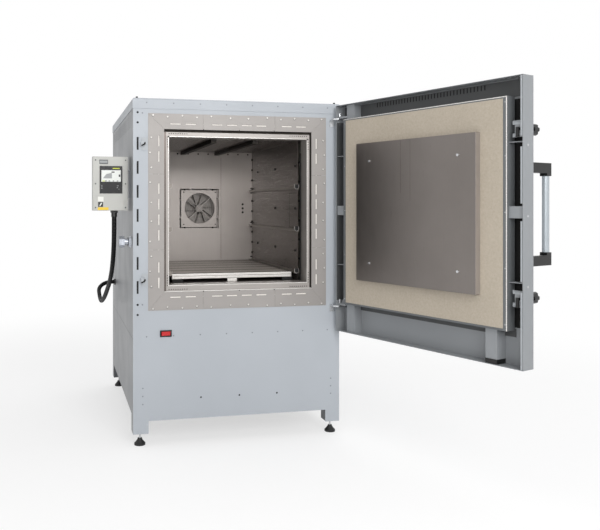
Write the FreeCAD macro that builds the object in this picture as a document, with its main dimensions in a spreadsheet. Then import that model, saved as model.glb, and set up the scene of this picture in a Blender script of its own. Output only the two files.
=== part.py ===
import FreeCAD, Part

import math
import os
import re
import Sketcher

# Chamber furnace. Millimetres, +Z up, the door faces -Y, +X is to the right of someone facing it.
# The origin is on the floor, at the centre of the four levelling feet.
# The door's pieces are drawn closed, then turned about the hinge pins by door_angle.

doc = FreeCAD.newDocument("chamber_furnace")

SIZES = {
    # cabinet
    "body_width": 1150, "body_depth": 1350, "body_top": 1778, "sheet": 2,
    "foot_height": 66, "leg_width": 82, "front_cut_top": 132, "side_cut_top": 156,
    "roof_rise": 56, "roof_overhang": 3, "roof_sheet": 3, "panel_rise": 30, "roof_round": 11,
    "roof_bolt_inset": 14, "roof_bolt_radius": 5, "roof_bolt_height": 8,
    "vent_inset": 24, "vent_width": 10, "vent_length": 67, "vent_pitch": 126, "vent_drop": 151,
    "vent_gap_above": 76, "vent_gap_below": 58, "vent_hole_pitch": 53, "vent_hole_radius": 4.3,
    "louvre_width": 8, "louvre_length": 70, "louvre_pitch": 44, "louvre_drop": 20,
    "rivet_radius": 4, "rivet_head": 1.5, "seam_rivet_height": 577, "seam_rivet_pitch": 144,
    "roof_rivet_drop": 25, "floor_bolt_height": 242, "floor_bolt_pitch": 212,
    "floor_bolt_radius": 5, "leg_rivet_inset": 10, "leg_rivet_drop": 20, "leg_rivet_pitch": 42,
    # welded frame
    "post_width": 76, "tube_wall": 4, "beam_width": 60, "base_ring_low": 160, "deck_top": 690,
    # levelling feet
    "pad_radius": 29.5, "pad_rim": 10, "pad_height": 36, "pad_neck_radius": 11,
    "foot_stud_radius": 5, "foot_stud_rise": 34, "foot_nut_radius": 9.5, "foot_nut_height": 8,
    "pad_grip": 12, "pad_slope": 6, "pad_slope_rise": 5, "pad_collar": 2, "pad_collar_height": 7,
    # chamber mouth
    "mouth_inset": 190, "mouth_low": 844, "mouth_drop": 146, "mouth_lip_side": 15,
    "mouth_lip_low": 30, "mouth_lip_high": 25, "mouth_depth": 100, "mouth_recess": 2,
    "mouth_groove": 35,
    "collar_inset": 79, "collar_low": 713, "collar_drop": 24, "collar_side_strip": 85,
    "collar_in_low": 809, "collar_above_mouth": 40, "collar_sheet": 2, "collar_lap": 25,
    "seam_gap": 0.8, "dash_length": 55, "dash_width": 8, "dash_inset": 28,
    "rivet_near": 10, "rivet_far": 17,
    # chamber
    "chamber_step": 10, "baffle_start": 125, "chamber_rear": 252, "heater_gap": 60,
    "fan_space": 92, "mouth_insulation": 76,
    "rail_reach": 22, "rail_height": 24, "rail_drop": 260, "rail_rise": 52, "rail_sheet": 2,
    "rail_stop_length": 16, "rail_stop_rise": 14,
    "bar_offset": 119, "bar_width": 30, "bar_height": 22,
    "tray_side_gap": 30, "tray_front": 150, "tray_back_gap": 23, "tray_height": 28,
    "tray_sheet": 3, "rib_width": 14, "rib_height": 3,
    "runner_height": 18.7, "runner_width": 57, "tray_play": 0.3,
    "heater_radius": 5, "heater_inset": 116, "heater_reach": 20,
    # fan
    "fan_drop": 386, "fan_opening": 105, "guard_half": 129, "guard_gap": 6, "guard_tab": 14,
    "guard_wire": 1.5, "guard_ring_pitch": 24,
    "wheel_radius": 118, "wheel_depth": 46, "wheel_gap": 16, "wheel_disc": 3, "hub_radius": 26,
    "blade_sheet": 3, "blade_lean": 18, "fan_shaft_radius": 12, "shaft_hole_radius": 20,
    "bearing_play": 0.05, "flange_half": 150, "flange_sheet": 10, "boss_radius": 42,
    "boss_length": 34, "motor_radius": 82, "motor_length": 190, "motor_cowl": 40,
    "motor_fin": 6, "fin_sheet": 3, "fin_start": 20, "shaft_tail": 40, "motor_bore": 14,
    "blade_root": 21, "blade_tip": 114, "terminal_sink": 20, "terminal_rise": 36,
    "terminal_start": 40, "terminal_length": 80, "terminal_half": 35,
    # rear connections
    "exhaust_radius": 40, "exhaust_wall": 2, "exhaust_reach": 80, "exhaust_inset": 125,
    "exhaust_drop": 92, "exhaust_collar": 62, "exhaust_collar_sheet": 3,
    "gland_inset": 195, "gland_height": 300, "gland_bore": 12, "gland_radius": 20, "gland_nut": 27,
    "gland_reach": 46, "gland_flat": 14,
    "probe_inset": 68, "probe_radius": 3, "probe_hole": 4.5, "probe_pitch": 28,
    "probe_head_radius": 34, "probe_head_length": 52, "probe_boss_radius": 14,
    "probe_boss_length": 26,
    # side port
    "port_height": 1072, "port_back": 110, "port_flange_radius": 32, "port_flange": 14,
    "port_neck_radius": 17, "port_neck": 22, "port_cap_radius": 31, "port_cap": 28,
    "port_hole": 17.5, "port_flange_slope": 8,
    # controller
    "box_gap": 15, "box_width": 187, "box_height": 291, "box_depth": 100, "box_low": 1240,
    "box_back": 120, "box_wall": 3, "box_lid": 14, "lid_inset": 3, "display_width": 121,
    "display_height": 147, "display_x": 36, "display_drop": 52, "display_proud": 3,
    "bracket_height": 150, "bracket_depth": 64, "bracket_sheet": 3, "bracket_low": 1310,
    "bracket_back": 10,
    # hose
    "hose_radius": 13, "hose_gland_radius": 16, "hose_gland_length": 34, "hose_nut": 20,
    "hose_start": 172, "hose_ends": 395,
    # switch
    "switch_inset": 173, "switch_height": 590, "switch_width": 63, "switch_rise": 35,
    "switch_frame": 5, "switch_proud": 4, "rocker_play": 1.6, "rocker_depth": 12,
    "rocker_tilt": 9, "switch_body_depth": 30, "switch_wall": 1, "switch_back_wall": 3,
    "rocker_out": 1, "axle_radius": 2, "axle_back": 3, "axle_play": 0.2,
    # switchgear in the lower bay
    "gear_plate_margin": 65, "gear_plate_height": 330, "gear_plate_sheet": 3,
    "gear_plate_y": 200, "device_width": 54, "device_height": 90, "device_depth": 75,
    "device_pitch": 74, "gear_plate_gap": 20, "device_inset": 40, "device_row_gap": 50,
    "hanger_width": 40,
    # door
    "hinge_inset": 10, "hinge_out": 34, "door_angle": 109.8, "door_gap": 12,
    "pan_free_over": 3, "pan_hinge_inset": 1, "door_low": 577, "door_rise": 40,
    "pan_depth": 72, "liner_inset": 69, "liner_low": 733, "liner_drop": 42,
    "liner_proud": 5, "liner_depth": 53, "liner_side_flange": 20, "liner_end_flange": 10,
    "board_proud": 2, "board_sheet": 26, "shield_inset": 134, "shield_low": 876,
    "shield_drop": 145, "shield_edge": 31, "shield_bolt_in": 95,
    "shield_bolt_radius": 6, "shield_bolt_head": 4, "shield_spacer_radius": 9,
    "tie_drop": 198, "tie_pitch": 298, "tie_height": 51,
    "tie_sheet": 3, "tie_inset": 10, "guide_width": 46, "guide_height": 70, "guide_depth": 12,
    "stiffener_width": 59, "stiffener_depth": 50, "skin_spacer": 40,
    "support_inset": 89, "support_width": 59, "support_low": 600,
    "support_depth": 60, "support_sheet": 3,
    # hinges
    "pin_radius": 5, "pin_play": 0.05, "eye_radius": 6.5, "hinge_sheet": 8, "arm_sheet": 10,
    "hinge_washer": 0.5, "leaf_width": 28, "leaf_sheet": 5, "leaf_height": 40,
    "hook_in": 42, "hook_middle": 24, "hook_deep": 32, "hook_back": 20, "hook_width": 11,
    "arm_forward": 15, "gusset_height": 70, "pin_rise": 20, "hinge_clear": 3.5,
    "hinge_lift": 6,
    # latches and handle
    "latch_inset": 22, "latch_low": 875, "latch_drop": 186, "spindle_radius": 6,
    "knob_radius": 26, "knob_neck": 13, "knob_stand": 10, "knob_depth": 32,
    "knob_scallop": 7, "knob_gap": 0.5, "scallop_out": 3, "tongue_length": 35,
    "tongue_width": 14, "tongue_sheet": 6, "tongue_out": 8, "keeper_width": 34, "keeper_inset": 39, "keeper_height": 66,
    "keeper_sheet": 3, "keeper_out": 21, "keeper_clear": 8, "keeper_reach": 18,
    "keeper_lip": 21, "keeper_post": 5, "keeper_lip_sheet": 4, "keeper_screw": 5,
    "grip_lower": 2.5, "grip_length": 330, "grip_radius": 15,
    "grip_stand": 124, "grip_wall": 2.5, "bracket_arm": 44, "bracket_neck": 12,
    "bracket_wide": 34, "bracket_over": 16,
    # how far the form that cuts a hole reaches past the surface
    "cut_over": 1,
}

# Sizes that follow from others, so that the pieces stay together when one size changes.
TIED = {
    "mouth_half": "body_width/2-mouth_inset",
    "mouth_high": "body_top-mouth_drop",
    "mouth_height": "mouth_high-mouth_low",
    "collar_half": "body_width/2-collar_inset",
    "collar_high": "body_top-collar_drop",
    "collar_in_half": "collar_half-collar_side_strip",
    "collar_in_high": "mouth_high+collar_above_mouth",
    "collar_half_height": "(collar_high-collar_low)/2",
    "chamber_half": "mouth_half-chamber_step",
    "chamber_depth": "body_depth-chamber_rear",
    "fan_height": "mouth_high-fan_drop",
    "rail_top": "mouth_high-rail_drop",
    "rail_pitch": "(rail_top-mouth_low-rail_rise)/2",
    "heater_pitch": "(mouth_height-2*heater_inset)/5",
    "heater_low": "mouth_low+heater_inset",
    "tray_half": "chamber_half-tray_side_gap",
    "tray_back": "chamber_depth-tray_back_gap",
    "rib_pitch": "(tray_back-tray_front)/23",
    "exhaust_x": "chamber_half-exhaust_inset",
    "exhaust_height": "mouth_high-exhaust_drop",
    "probe_x": "chamber_half-probe_inset",
    "gland_x": "body_width/2-gland_inset",
    "gear_plate_width": "2*(chamber_half-gear_plate_margin)",
    "vent_top": "body_top-vent_drop",
    "louvre_top": "body_top-louvre_drop",
    "switch_x": "body_width/2-switch_inset",
    "hose_reach": "body_depth-hose_ends",
    "hinge_x": "body_width/2-hinge_inset",
    "door_high": "body_top+door_rise",
    "liner_half": "body_width/2-liner_inset",
    "liner_high": "body_top-liner_drop",
    "shield_half": "liner_half-shield_inset",
    "shield_high": "liner_high-shield_drop",
    "tie_top": "liner_high-tie_drop",
    "support_x": "liner_half-support_inset",
    "latch_x": "body_width/2-latch_inset",
    "latch_top": "body_top-latch_drop",
    "latch_pitch": "latch_top-latch_low",
    "keeper_x": "latch_x-keeper_inset",
    "grip_height": "(latch_top+latch_low)/2-grip_lower",
}

# The hose hangs from the controller to the side panel: out from the panel, back from the
# fitting on the controller, and height. The run back is stretched to come to hose_reach.
HOSE_ROUTE = [
    (85, 0, 1206), (85, 0, 1096), (85, 51, 990), (86, 151, 895), (89, 273, 822),
    (94, 403, 763), (101, 523, 706), (107, 628, 671), (111, 713, 653), (114, 788, 664),
    (116, 843, 687), (116, 882, 708), (107, 909, 723), (89, 931, 736), (66, 947, 745),
    (38, 955, 750), (10, 955, 750),
]

# Places along the collar, as shares of its half width or half height from the middle.
SEAM_SHARE = {"top": 0.403, "bottom": 0.403, "side": 0.384}
SLOT_SHARES = {"top": (0.083, 0.248, 0.54, 0.706), "bottom": (0.083, 0.248, 0.54, 0.706),
               "side": (0.079, 0.236, 0.562, 0.72)}
RIVET_SHARES = (0.1, 0.315, 0.472, 0.631, 0.792, 0.948)
WORD = re.compile(r"[a-z][a-z_]+")
PIECES = []


def fill_sheet():
    """One row for each size, given or tied: its name, and its value with the name as alias."""
    table = doc.addObject("Spreadsheet::Sheet", "sizes")
    rows = [(name, str(number)) for name, number in SIZES.items()]
    rows += [(name, "=" + formula) for name, formula in TIED.items()]
    for row, (name, content) in enumerate(rows, start=1):
        table.set(f"A{row}", name)
        table.set(f"B{row}", content)
        table.setAlias(f"B{row}", name)
    doc.recompute()
    return table


sheet_table = fill_sheet()


def spelled(text):
    """The expression with the sheet's name before each of its aliases."""
    def prefix(match):
        word = match.group(0)
        return "sizes." + word if word in SIZES or word in TIED else word
    return WORD.sub(prefix, str(text))


def value(text):
    """The number that an expression of sizes comes to."""
    return float(sheet_table.evalExpression(spelled(text)))


def bind(item, path, text):
    item.setExpression(path, spelled(text))


def move(item, x, y, z):
    for letter, text in zip("xyz", (x, y, z)):
        bind(item, "Placement.Base." + letter, text)
    return item


def face_along(item, axis):
    """Turn an item whose own axis is +Z so that it points along the named axis."""
    turns = {
        "+x": ((0, 1, 0), 90), "-x": ((0, 1, 0), -90), "+y": ((1, 0, 0), -90),
        "-y": ((1, 0, 0), 90), "-z": ((1, 0, 0), 180),
    }
    if axis in turns:
        direction, angle = turns[axis]
        rotation = FreeCAD.Rotation(FreeCAD.Vector(*direction), angle)
        item.Placement = FreeCAD.Placement(FreeCAD.Vector(), rotation)
    return item


def block(x, y, z):
    """A box between a low and a high expression along each axis."""
    item = doc.addObject("Part::Box", "Block")
    for side, (low, high) in zip(("Length", "Width", "Height"), (x, y, z)):
        bind(item, side, f"({high})-({low})")
    return move(item, x[0], y[0], z[0])


def both(half):
    return f"-({half})", half


def rod(axis, radius, start, length):
    """A cylinder that starts at a point and runs along an axis."""
    item = doc.addObject("Part::Cylinder", "Rod")
    bind(item, "Radius", radius)
    bind(item, "Height", length)
    return move(face_along(item, axis), *start)


def hexagon(axis, radius, start, length):
    item = doc.addObject("Part::Prism", "Hexagon")
    item.Polygon = 6
    bind(item, "Circumradius", radius)
    bind(item, "Height", length)
    return move(face_along(item, axis), *start)


def tapered(axis, wide, narrow, start, length):
    item = doc.addObject("Part::Cone", "Taper")
    bind(item, "Radius1", wide)
    bind(item, "Radius2", narrow)
    bind(item, "Height", length)
    return move(face_along(item, axis), *start)


def ring(axis, radius, wire, start):
    item = doc.addObject("Part::Torus", "Ring")
    bind(item, "Radius1", radius)
    bind(item, "Radius2", wire)
    return move(face_along(item, axis), *start)


def group(*items):
    item = doc.addObject("Part::Compound", "Group")
    item.Links = list(items)
    return item


def fuse(*items):
    item = doc.addObject("Part::MultiFuse", "Fused")
    item.Shapes = list(items)
    item.Refine = True
    return item


def cut(base, *tools):
    item = doc.addObject("Part::Cut", "Cut")
    item.Base = base
    item.Tool = tools[0] if len(tools) == 1 else group(*tools)
    item.Refine = True
    return item


def mirrored(item, normal):
    copy = doc.addObject("Part::Mirroring", "Mirrored")
    copy.Source = item
    copy.Normal = FreeCAD.Vector(*normal)
    return copy


def both_sides(item):
    return group(item, mirrored(item, (1, 0, 0)))


def turned(name, outline):
    """A body of revolution about its own Z axis, from (radius, height) expressions."""
    body = doc.addObject("PartDesign::Body", name)
    planes = [item for item in body.Origin.OriginFeatures if item.Role == "XZ_Plane"]
    sketch = body.newObject("Sketcher::SketchObject", name + "_outline")
    sketch.AttachmentSupport = (planes[0], [""])
    sketch.MapMode = "FlatFace"
    corners = [FreeCAD.Vector(value(radius), value(height), 0) for radius, height in outline]
    for index, corner in enumerate(corners):
        sketch.addGeometry(Part.LineSegment(corner, corners[(index + 1) % len(corners)]))
    for index in range(len(corners)):
        follower = (index + 1) % len(corners)
        sketch.addConstraint(Sketcher.Constraint("Coincident", index, 2, follower, 1))
    for index, (radius, height) in enumerate(outline):
        for kind, text in (("DistanceX", radius), ("DistanceY", height)):
            number = sketch.addConstraint(Sketcher.Constraint(kind, -1, 1, index, 1, value(text)))
            bind(sketch, f"Constraints[{number}]", text)
    spin = body.newObject("PartDesign::Revolution", name + "_turned")
    spin.Profile = sketch
    spin.ReferenceAxis = (sketch, ["V_Axis"])
    spin.Angle = 360
    body.Tip = spin
    return body


def piece(name, item):
    """Name an item as one of the sub-parts that are written out."""
    item.Label = name
    PIECES.append(item)
    return item


def turned_about_z(item, centre_x, centre_y, angle):
    """Turn an item that sits at the origin about a vertical line."""
    item.Placement = FreeCAD.Placement(
        FreeCAD.Vector(), FreeCAD.Rotation(FreeCAD.Vector(0, 0, 1), value(angle)))
    bind(item, "Placement.Rotation.Angle", angle)
    along = f"({centre_x})*(1-cos({angle}))+({centre_y})*sin({angle})"
    across = f"({centre_y})*(1-cos({angle}))-({centre_x})*sin({angle})"
    return move(item, along, across, 0)


def door_piece(name, *items):
    """A sub-part of the door: drawn closed, then swung open about the hinge pins."""
    item = items[0] if len(items) == 1 and items[0].TypeId != "Part::Box" else group(*items)
    return piece(name, turned_about_z(item, "hinge_x", HINGE_Y, "door_angle"))


FRONT = "-body_depth/2"
BACK = "body_depth/2"
SIDE = "body_width/2"
PANEL_TOP = "body_top+panel_rise"
FOOT_X = "body_width/2-sheet-post_width/2"
FOOT_Y = "body_depth/2-sheet-post_width/2"
POST_IN_X = "body_width/2-sheet-post_width"
POST_IN_Y = "body_depth/2-sheet-post_width"
FLOOR_Z = "mouth_low-sheet"
CEILING_Z = "mouth_high+sheet"
HOT_HALF = "chamber_half+sheet+heater_gap"
BAFFLE_Y = "chamber_depth-body_depth/2"
REAR_WALL_Y = "chamber_depth-body_depth/2+fan_space"
HINGE_Y = "-body_depth/2-hinge_out"
RIM_Y = "-body_depth/2-door_gap"
SKIN_Y = "-body_depth/2-door_gap-pan_depth"
PAN_FREE = "-body_width/2-pan_free_over"
PAN_HINGE = "body_width/2-pan_hinge_inset"
COLLAR_MIDDLE_Z = "(collar_low+collar_high)/2"


def behind_front(text):
    return f"-body_depth/2+({text})"


def before_front(text):
    return f"-body_depth/2-({text})"


def hose_point(number):
    out, back, height = HOSE_ROUTE[number]
    stretch = f"hose_reach/{HOSE_ROUTE[-1][1]}"
    return f"-({SIDE})-{out}", behind_front(f"hose_start+{back}*{stretch}"), str(height)


def make_front_panel():
    sheet_y = (FRONT, f"{FRONT}+sheet")
    through_y = (f"{FRONT}-sheet", f"{FRONT}+2*sheet")
    plate = block(both(SIDE), sheet_y, ("foot_height", PANEL_TOP))
    holes = [
        block(both("body_width/2-leg_width"), through_y, ("foot_height-sheet", "front_cut_top")),
        block(both("collar_half-collar_lap"), through_y,
              ("collar_low+collar_lap", "collar_high-collar_lap")),
        block(("-switch_x-switch_width/2+switch_frame", "-switch_x+switch_width/2-switch_frame"),
              through_y, ("switch_height-switch_rise/2+switch_frame",
                          "switch_height+switch_rise/2-switch_frame")),
    ]
    vent_x = ("-body_width/2+vent_inset-vent_width/2", "-body_width/2+vent_inset+vent_width/2")
    for step in range(7):
        top = f"vent_top-{step}*vent_pitch"
        holes.append(block(vent_x, through_y, (f"{top}-vent_length", top)))
    bottom = "vent_top-vent_length-6*vent_pitch"
    for end, away in (("vent_top+vent_gap_above", 1), (f"{bottom}-vent_gap_below", -1)):
        for step in range(2):
            height = f"{end}+{away}*{step}*vent_hole_pitch"
            start = ("-body_width/2+vent_inset", through_y[0], height)
            holes.append(rod("+y", "vent_hole_radius", start, "3*sheet"))
    for step in (-1, 0, 1):
        start = (f"{step}*floor_bolt_pitch", through_y[0], "floor_bolt_height")
        holes.append(rod("+y", "floor_bolt_radius", start, "3*sheet"))
    piece("front_panel", cut(plate, *holes))


def side_panel(side):
    """One side sheet, between the front and rear sheets; side is -1 on the left."""
    low, high = ("body_width/2-sheet", SIDE) if side > 0 else (f"-{SIDE}", "-body_width/2+sheet")
    across = (f"{low}-sheet", f"{high}+sheet")
    plate = block((low, high), both("body_depth/2-sheet"), ("foot_height", PANEL_TOP))
    holes = [block(across, both("body_depth/2-leg_width"), ("foot_height-sheet", "side_cut_top"))]
    for step in range(-13, 14):
        along = (f"{step}*louvre_pitch-louvre_width/2", f"{step}*louvre_pitch+louvre_width/2")
        holes.append(block(across, along, ("louvre_top-louvre_length", "louvre_top")))
    if side < 0:
        hose_y, hose_z = hose_point(-1)[1:]
        holes.append(rod("+x", "port_hole", (across[0], behind_front("port_back"), "port_height"),
                         "3*sheet"))
        holes.append(rod("+x", "hose_radius", (across[0], hose_y, hose_z), "3*sheet"))
    return cut(plate, *holes)


def make_rear_panel():
    through_y = f"{BACK}-2*sheet"
    plate = block(both(SIDE), (f"{BACK}-sheet", BACK), ("foot_height", PANEL_TOP))
    legs = block(both("body_width/2-leg_width"), (through_y, f"{BACK}+sheet"),
                 ("foot_height-sheet", "front_cut_top"))
    holes = [
        legs,
        rod("+y", "shaft_hole_radius", (0, through_y, "fan_height"), "3*sheet"),
        rod("+y", "exhaust_radius", ("exhaust_x", through_y, "exhaust_height"), "3*sheet"),
        rod("+y", "gland_bore", ("gland_x", through_y, "gland_height"), "3*sheet"),
        rod("+y", "probe_radius", ("probe_x", through_y, "fan_height"), "3*sheet"),
    ]
    piece("rear_panel", cut(plate, *holes))


def rectangle_sketch(body, name, width, depth, height):
    """A rectangle about the origin, on a plane that is raised by an expression."""
    planes = [item for item in body.Origin.OriginFeatures if item.Role == "XY_Plane"]
    sketch = body.newObject("Sketcher::SketchObject", name)
    sketch.AttachmentSupport = (planes[0], [""])
    sketch.MapMode = "FlatFace"
    bind(sketch, "AttachmentOffset.Base.z", height)
    x, y = value(width) / 2, value(depth) / 2
    corners = [(-x, -y), (x, -y), (x, y), (-x, y)]
    for index, (left, front) in enumerate(corners):
        right, back = corners[(index + 1) % 4]
        sketch.addGeometry(Part.LineSegment(FreeCAD.Vector(left, front, 0),
                                            FreeCAD.Vector(right, back, 0)))
    for index in range(4):
        sketch.addConstraint(Sketcher.Constraint("Coincident", index, 2, (index + 1) % 4, 1))
    for index, kind in enumerate(("Horizontal", "Vertical", "Horizontal", "Vertical")):
        sketch.addConstraint(Sketcher.Constraint(kind, index))
    sketch.addConstraint(Sketcher.Constraint("Symmetric", 0, 1, 2, 1, -1, 1))
    for index, kind, text in ((0, "DistanceX", width), (1, "DistanceY", depth)):
        number = sketch.addConstraint(Sketcher.Constraint(kind, index, 1, index, 2, value(text)))
        bind(sketch, f"Constraints[{number}]", text)
    return sketch


def make_roof_cover():
    """A shallow lid with rounded upper edges, hollow from below."""
    body = doc.addObject("PartDesign::Body", "roof_form")
    outer = rectangle_sketch(body, "roof_outline", "body_width+2*roof_overhang",
                             "body_depth+2*roof_overhang", "body_top")
    pad = body.newObject("PartDesign::Pad", "roof_pad")
    pad.Profile = outer
    bind(pad, "Length", "roof_rise")
    doc.recompute()
    top = value("body_top+roof_rise")
    edges = [f"Edge{number}" for number, edge in enumerate(pad.Shape.Edges, start=1)
             if all(abs(corner.Z - top) < 0.01 for corner in edge.Vertexes)]
    rounding = body.newObject("PartDesign::Fillet", "roof_rounding")
    rounding.Base = (pad, edges)
    bind(rounding, "Radius", "roof_round")
    inner = rectangle_sketch(body, "roof_hollow", "body_width+2*roof_overhang-2*roof_sheet",
                             "body_depth+2*roof_overhang-2*roof_sheet", "body_top")
    hollow = body.newObject("PartDesign::Pocket", "roof_pocket")
    hollow.Profile = inner
    hollow.Reversed = True
    bind(hollow, "Length", "roof_rise-roof_round")
    body.Tip = hollow
    piece("roof_cover", body)


def make_fasteners():
    """Rivets of the panels, and the bolts that hold the roof cover at its corners."""
    items = []
    for step in range(-3, 5):
        along = f"({step}-0.5)*seam_rivet_pitch"
        items.append(rod("-y", "rivet_radius", (along, FRONT, "seam_rivet_height"), "rivet_head"))
        lid = (along, before_front("roof_overhang"), "body_top+roof_rise-roof_rivet_drop")
        items.append(rod("-y", "rivet_radius", lid, "rivet_head"))
    corner = ("body_width/2+roof_overhang-roof_bolt_inset-roof_round",
              "body_depth/2+roof_overhang-roof_bolt_inset-roof_round", "body_top+roof_rise")
    bolt = rod("+z", "roof_bolt_radius", corner, "roof_bolt_height")
    right = group(bolt, mirrored(bolt, (0, 1, 0)))
    for step in range(3):
        height = f"floor_bolt_height-leg_rivet_drop+{step}*leg_rivet_pitch"
        spot = ("body_width/2-leg_width/2-leg_rivet_inset", FRONT, height)
        items.append(both_sides(rod("-y", "rivet_radius", spot, "rivet_head")))
    piece("panel_fasteners", group(both_sides(right), *items))


def tube(x, y, z, along):
    """A square tube with closed walls, open at its two ends along one axis."""
    spans = dict(x=x, y=y, z=z)
    outer = block(x, y, z)
    inner = {}
    for axis, (low, high) in spans.items():
        inner[axis] = (low, high) if axis == along else (f"{low}+tube_wall", f"{high}-tube_wall")
    return cut(outer, block(inner["x"], inner["y"], inner["z"]))


def make_base_frame():
    """Four corner posts with foot plates, and three rings of beams between them."""
    post = tube((POST_IN_X, "body_width/2-sheet"), (POST_IN_Y, "body_depth/2-sheet"),
                ("foot_height+tube_wall", "body_top"), "z")
    plate = block((POST_IN_X, "body_width/2-sheet"), (POST_IN_Y, "body_depth/2-sheet"),
                  ("foot_height", "foot_height+tube_wall"))
    bore = rod("+z", "foot_stud_radius", (FOOT_X, FOOT_Y, "foot_height-tube_wall"),
               "3*tube_wall")
    corner = group(post, cut(plate, bore))
    right = group(corner, mirrored(corner, (0, 1, 0)))
    items = [right, mirrored(right, (1, 0, 0))]
    for low in ("base_ring_low", "deck_top-beam_width", "body_top-beam_width"):
        height = (low, f"{low}+beam_width")
        front = tube(both(POST_IN_X), ("body_depth/2-sheet-beam_width", "body_depth/2-sheet"),
                     height, "x")
        side = tube(("body_width/2-sheet-beam_width", "body_width/2-sheet"), both(POST_IN_Y),
                    height, "y")
        items += [front, mirrored(front, (0, 1, 0)), side, mirrored(side, (1, 0, 0))]
    for step in (-1, 1):
        middle = f"{step}*body_depth/5"
        items.append(tube(both("body_width/2-sheet-beam_width"),
                          (f"{middle}-beam_width/2", f"{middle}+beam_width/2"),
                          ("deck_top-beam_width", "deck_top"), "x"))
    piece("base_frame", group(*items))


def make_feet():
    pads, studs = [], []
    for side in (-1, 1):
        for end in (-1, 1):
            x, y = f"{side}*({FOOT_X})", f"{end}*({FOOT_Y})"
            pad = turned(f"foot_pad_{side + 1}{end + 1}", [
                (0, 0), ("pad_radius", 0), ("pad_radius", "pad_rim"),
                ("pad_radius-pad_slope", "pad_rim+pad_slope_rise"),
                ("pad_neck_radius+pad_collar", "pad_height-pad_collar_height"),
                ("pad_neck_radius", "pad_height"), ("foot_stud_radius", "pad_height"),
                ("foot_stud_radius", "pad_height-pad_grip"), (0, "pad_height-pad_grip")])
            pads.append(move(pad, x, y, 0))
            shank = rod("+z", "foot_stud_radius", (x, y, "pad_height-pad_grip"),
                        "foot_height-pad_height+pad_grip+foot_stud_rise")
            nut = hexagon("+z", "foot_nut_radius", (x, y, "foot_height-foot_nut_height"),
                          "foot_nut_height")
            studs.append(fuse(shank, nut))
    piece("foot_pads", group(*pads))
    piece("foot_studs", group(*studs))


def collar_strip(depth_y, inner, outer, inner_span, outer_span):
    """A mitred strip, drawn as a wedge: its X runs along the strip and its Y outward."""
    item = doc.addObject("Part::Wedge", "Strip")
    low, high = depth_y
    for name, text in (("Ymin", 0), ("Ymax", f"({outer})-({inner})"),
                       ("Zmin", 0), ("Zmax", f"({high})-({low})"),
                       ("Z2min", 0), ("Z2max", f"({high})-({low})"),
                       ("Xmin", inner_span[0]), ("Xmax", inner_span[1]),
                       ("X2min", outer_span[0]), ("X2max", outer_span[1])):
        bind(item, name, text)
    return item


def make_collar():
    """The stainless collar round the mouth: mitred strips with slots, three to a side."""
    made = []
    for name, inner, outer in (("top", "collar_in_high", "collar_high"),
                               ("bottom", "collar_in_low", "collar_low"),
                               ("side", "collar_in_half", "collar_half")):
        along = name == "side"
        centre, half = (COLLAR_MIDDLE_Z, "collar_half_height") if along else ("0", "collar_half")
        ends_in = ("collar_in_low", "collar_in_high") if along else both("collar_in_half")
        ends_out = ("collar_low", "collar_high") if along else both("collar_half")
        low_seam = f"{centre}-{SEAM_SHARE[name]}*{half}"
        high_seam = f"{centre}+{SEAM_SHARE[name]}*{half}"
        first_end, last_start = f"{low_seam}-seam_gap", f"{high_seam}+seam_gap"
        spans = (
            ((f"{ends_in[0]}+seam_gap/2", first_end), (f"{ends_out[0]}+seam_gap/2", first_end)),
            ((low_seam, high_seam), (low_seam, high_seam)),
            ((last_start, f"{ends_in[1]}-seam_gap/2"), (last_start, f"{ends_out[1]}-seam_gap/2")),
        )
        near, next_near, far, next_far = (f"{share}*{half}" for share in SLOT_SHARES[name])
        slots = ((f"{centre}-{far}", f"{centre}-{next_far}"),
                 (f"{centre}-{near}", f"{centre}-{next_near}",
                  f"{centre}+{near}", f"{centre}+{next_near}"),
                 (f"{centre}+{far}", f"{centre}+{next_far}"))
        for (inner_span, outer_span), spots in zip(spans, slots):
            made += mitred_strip(name, inner, outer, inner_span, outer_span, spots)
    piece("collar_plates", group(*made))


def mitred_strip(name, inner, outer, inner_span, outer_span, spots):
    """One strip with its slots; a side strip is mirrored to the other side as well."""
    depth = (before_front("collar_sheet"), FRONT)
    dash_y = (before_front("2*collar_sheet"), f"{FRONT}+sheet")
    if name == "bottom":
        item = collar_strip(depth, outer, inner, outer_span, inner_span)
        move(face_along(item, "-y"), 0, depth[1], outer)
        line = f"{inner}-dash_inset"
    elif name == "top":
        item = collar_strip(depth, inner, outer, inner_span, outer_span)
        move(face_along(item, "-y"), 0, depth[1], inner)
        line = f"{inner}+dash_inset"
    else:
        item = collar_strip(depth, inner, outer, inner_span, outer_span)
        swap_axes = FreeCAD.Rotation(FreeCAD.Vector(1, 1, 1), 240)
        item.Placement = FreeCAD.Placement(FreeCAD.Vector(), swap_axes)
        move(item, inner, depth[0], 0)
        line = f"{inner}+dash_inset"
    width = (f"{line}-dash_width/2", f"{line}+dash_width/2")
    slots = []
    for spot in spots:
        span = (f"{spot}-dash_length/2", f"{spot}+dash_length/2")
        slots.append(block(width, dash_y, span) if name == "side" else block(span, dash_y, width))
    strip = cut(item, *slots)
    return [strip, mirrored(strip, (1, 0, 0))] if name == "side" else [strip]


def make_collar_rivets():
    start_y = before_front("collar_sheet")
    rivets = []
    for number, share in enumerate(RIVET_SHARES):
        inset = "rivet_far" if number % 2 == 0 else "rivet_near"
        for side in (-1, 1):
            for height in (f"collar_high-{inset}", f"collar_low+{inset}"):
                rivets.append(rod("-y", "rivet_radius",
                                  (f"{side * share}*collar_half", start_y, height),
                                  "rivet_head"))
            if share < RIVET_SHARES[-1]:
                for across in (f"collar_half-{inset}", f"-collar_half+{inset}"):
                    spot = (across, start_y, f"{COLLAR_MIDDLE_Z}+({side * share})*collar_half")
                    rivets.append(rod("-y", "rivet_radius", spot, "rivet_head"))
    piece("collar_rivets", group(*rivets))


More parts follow.
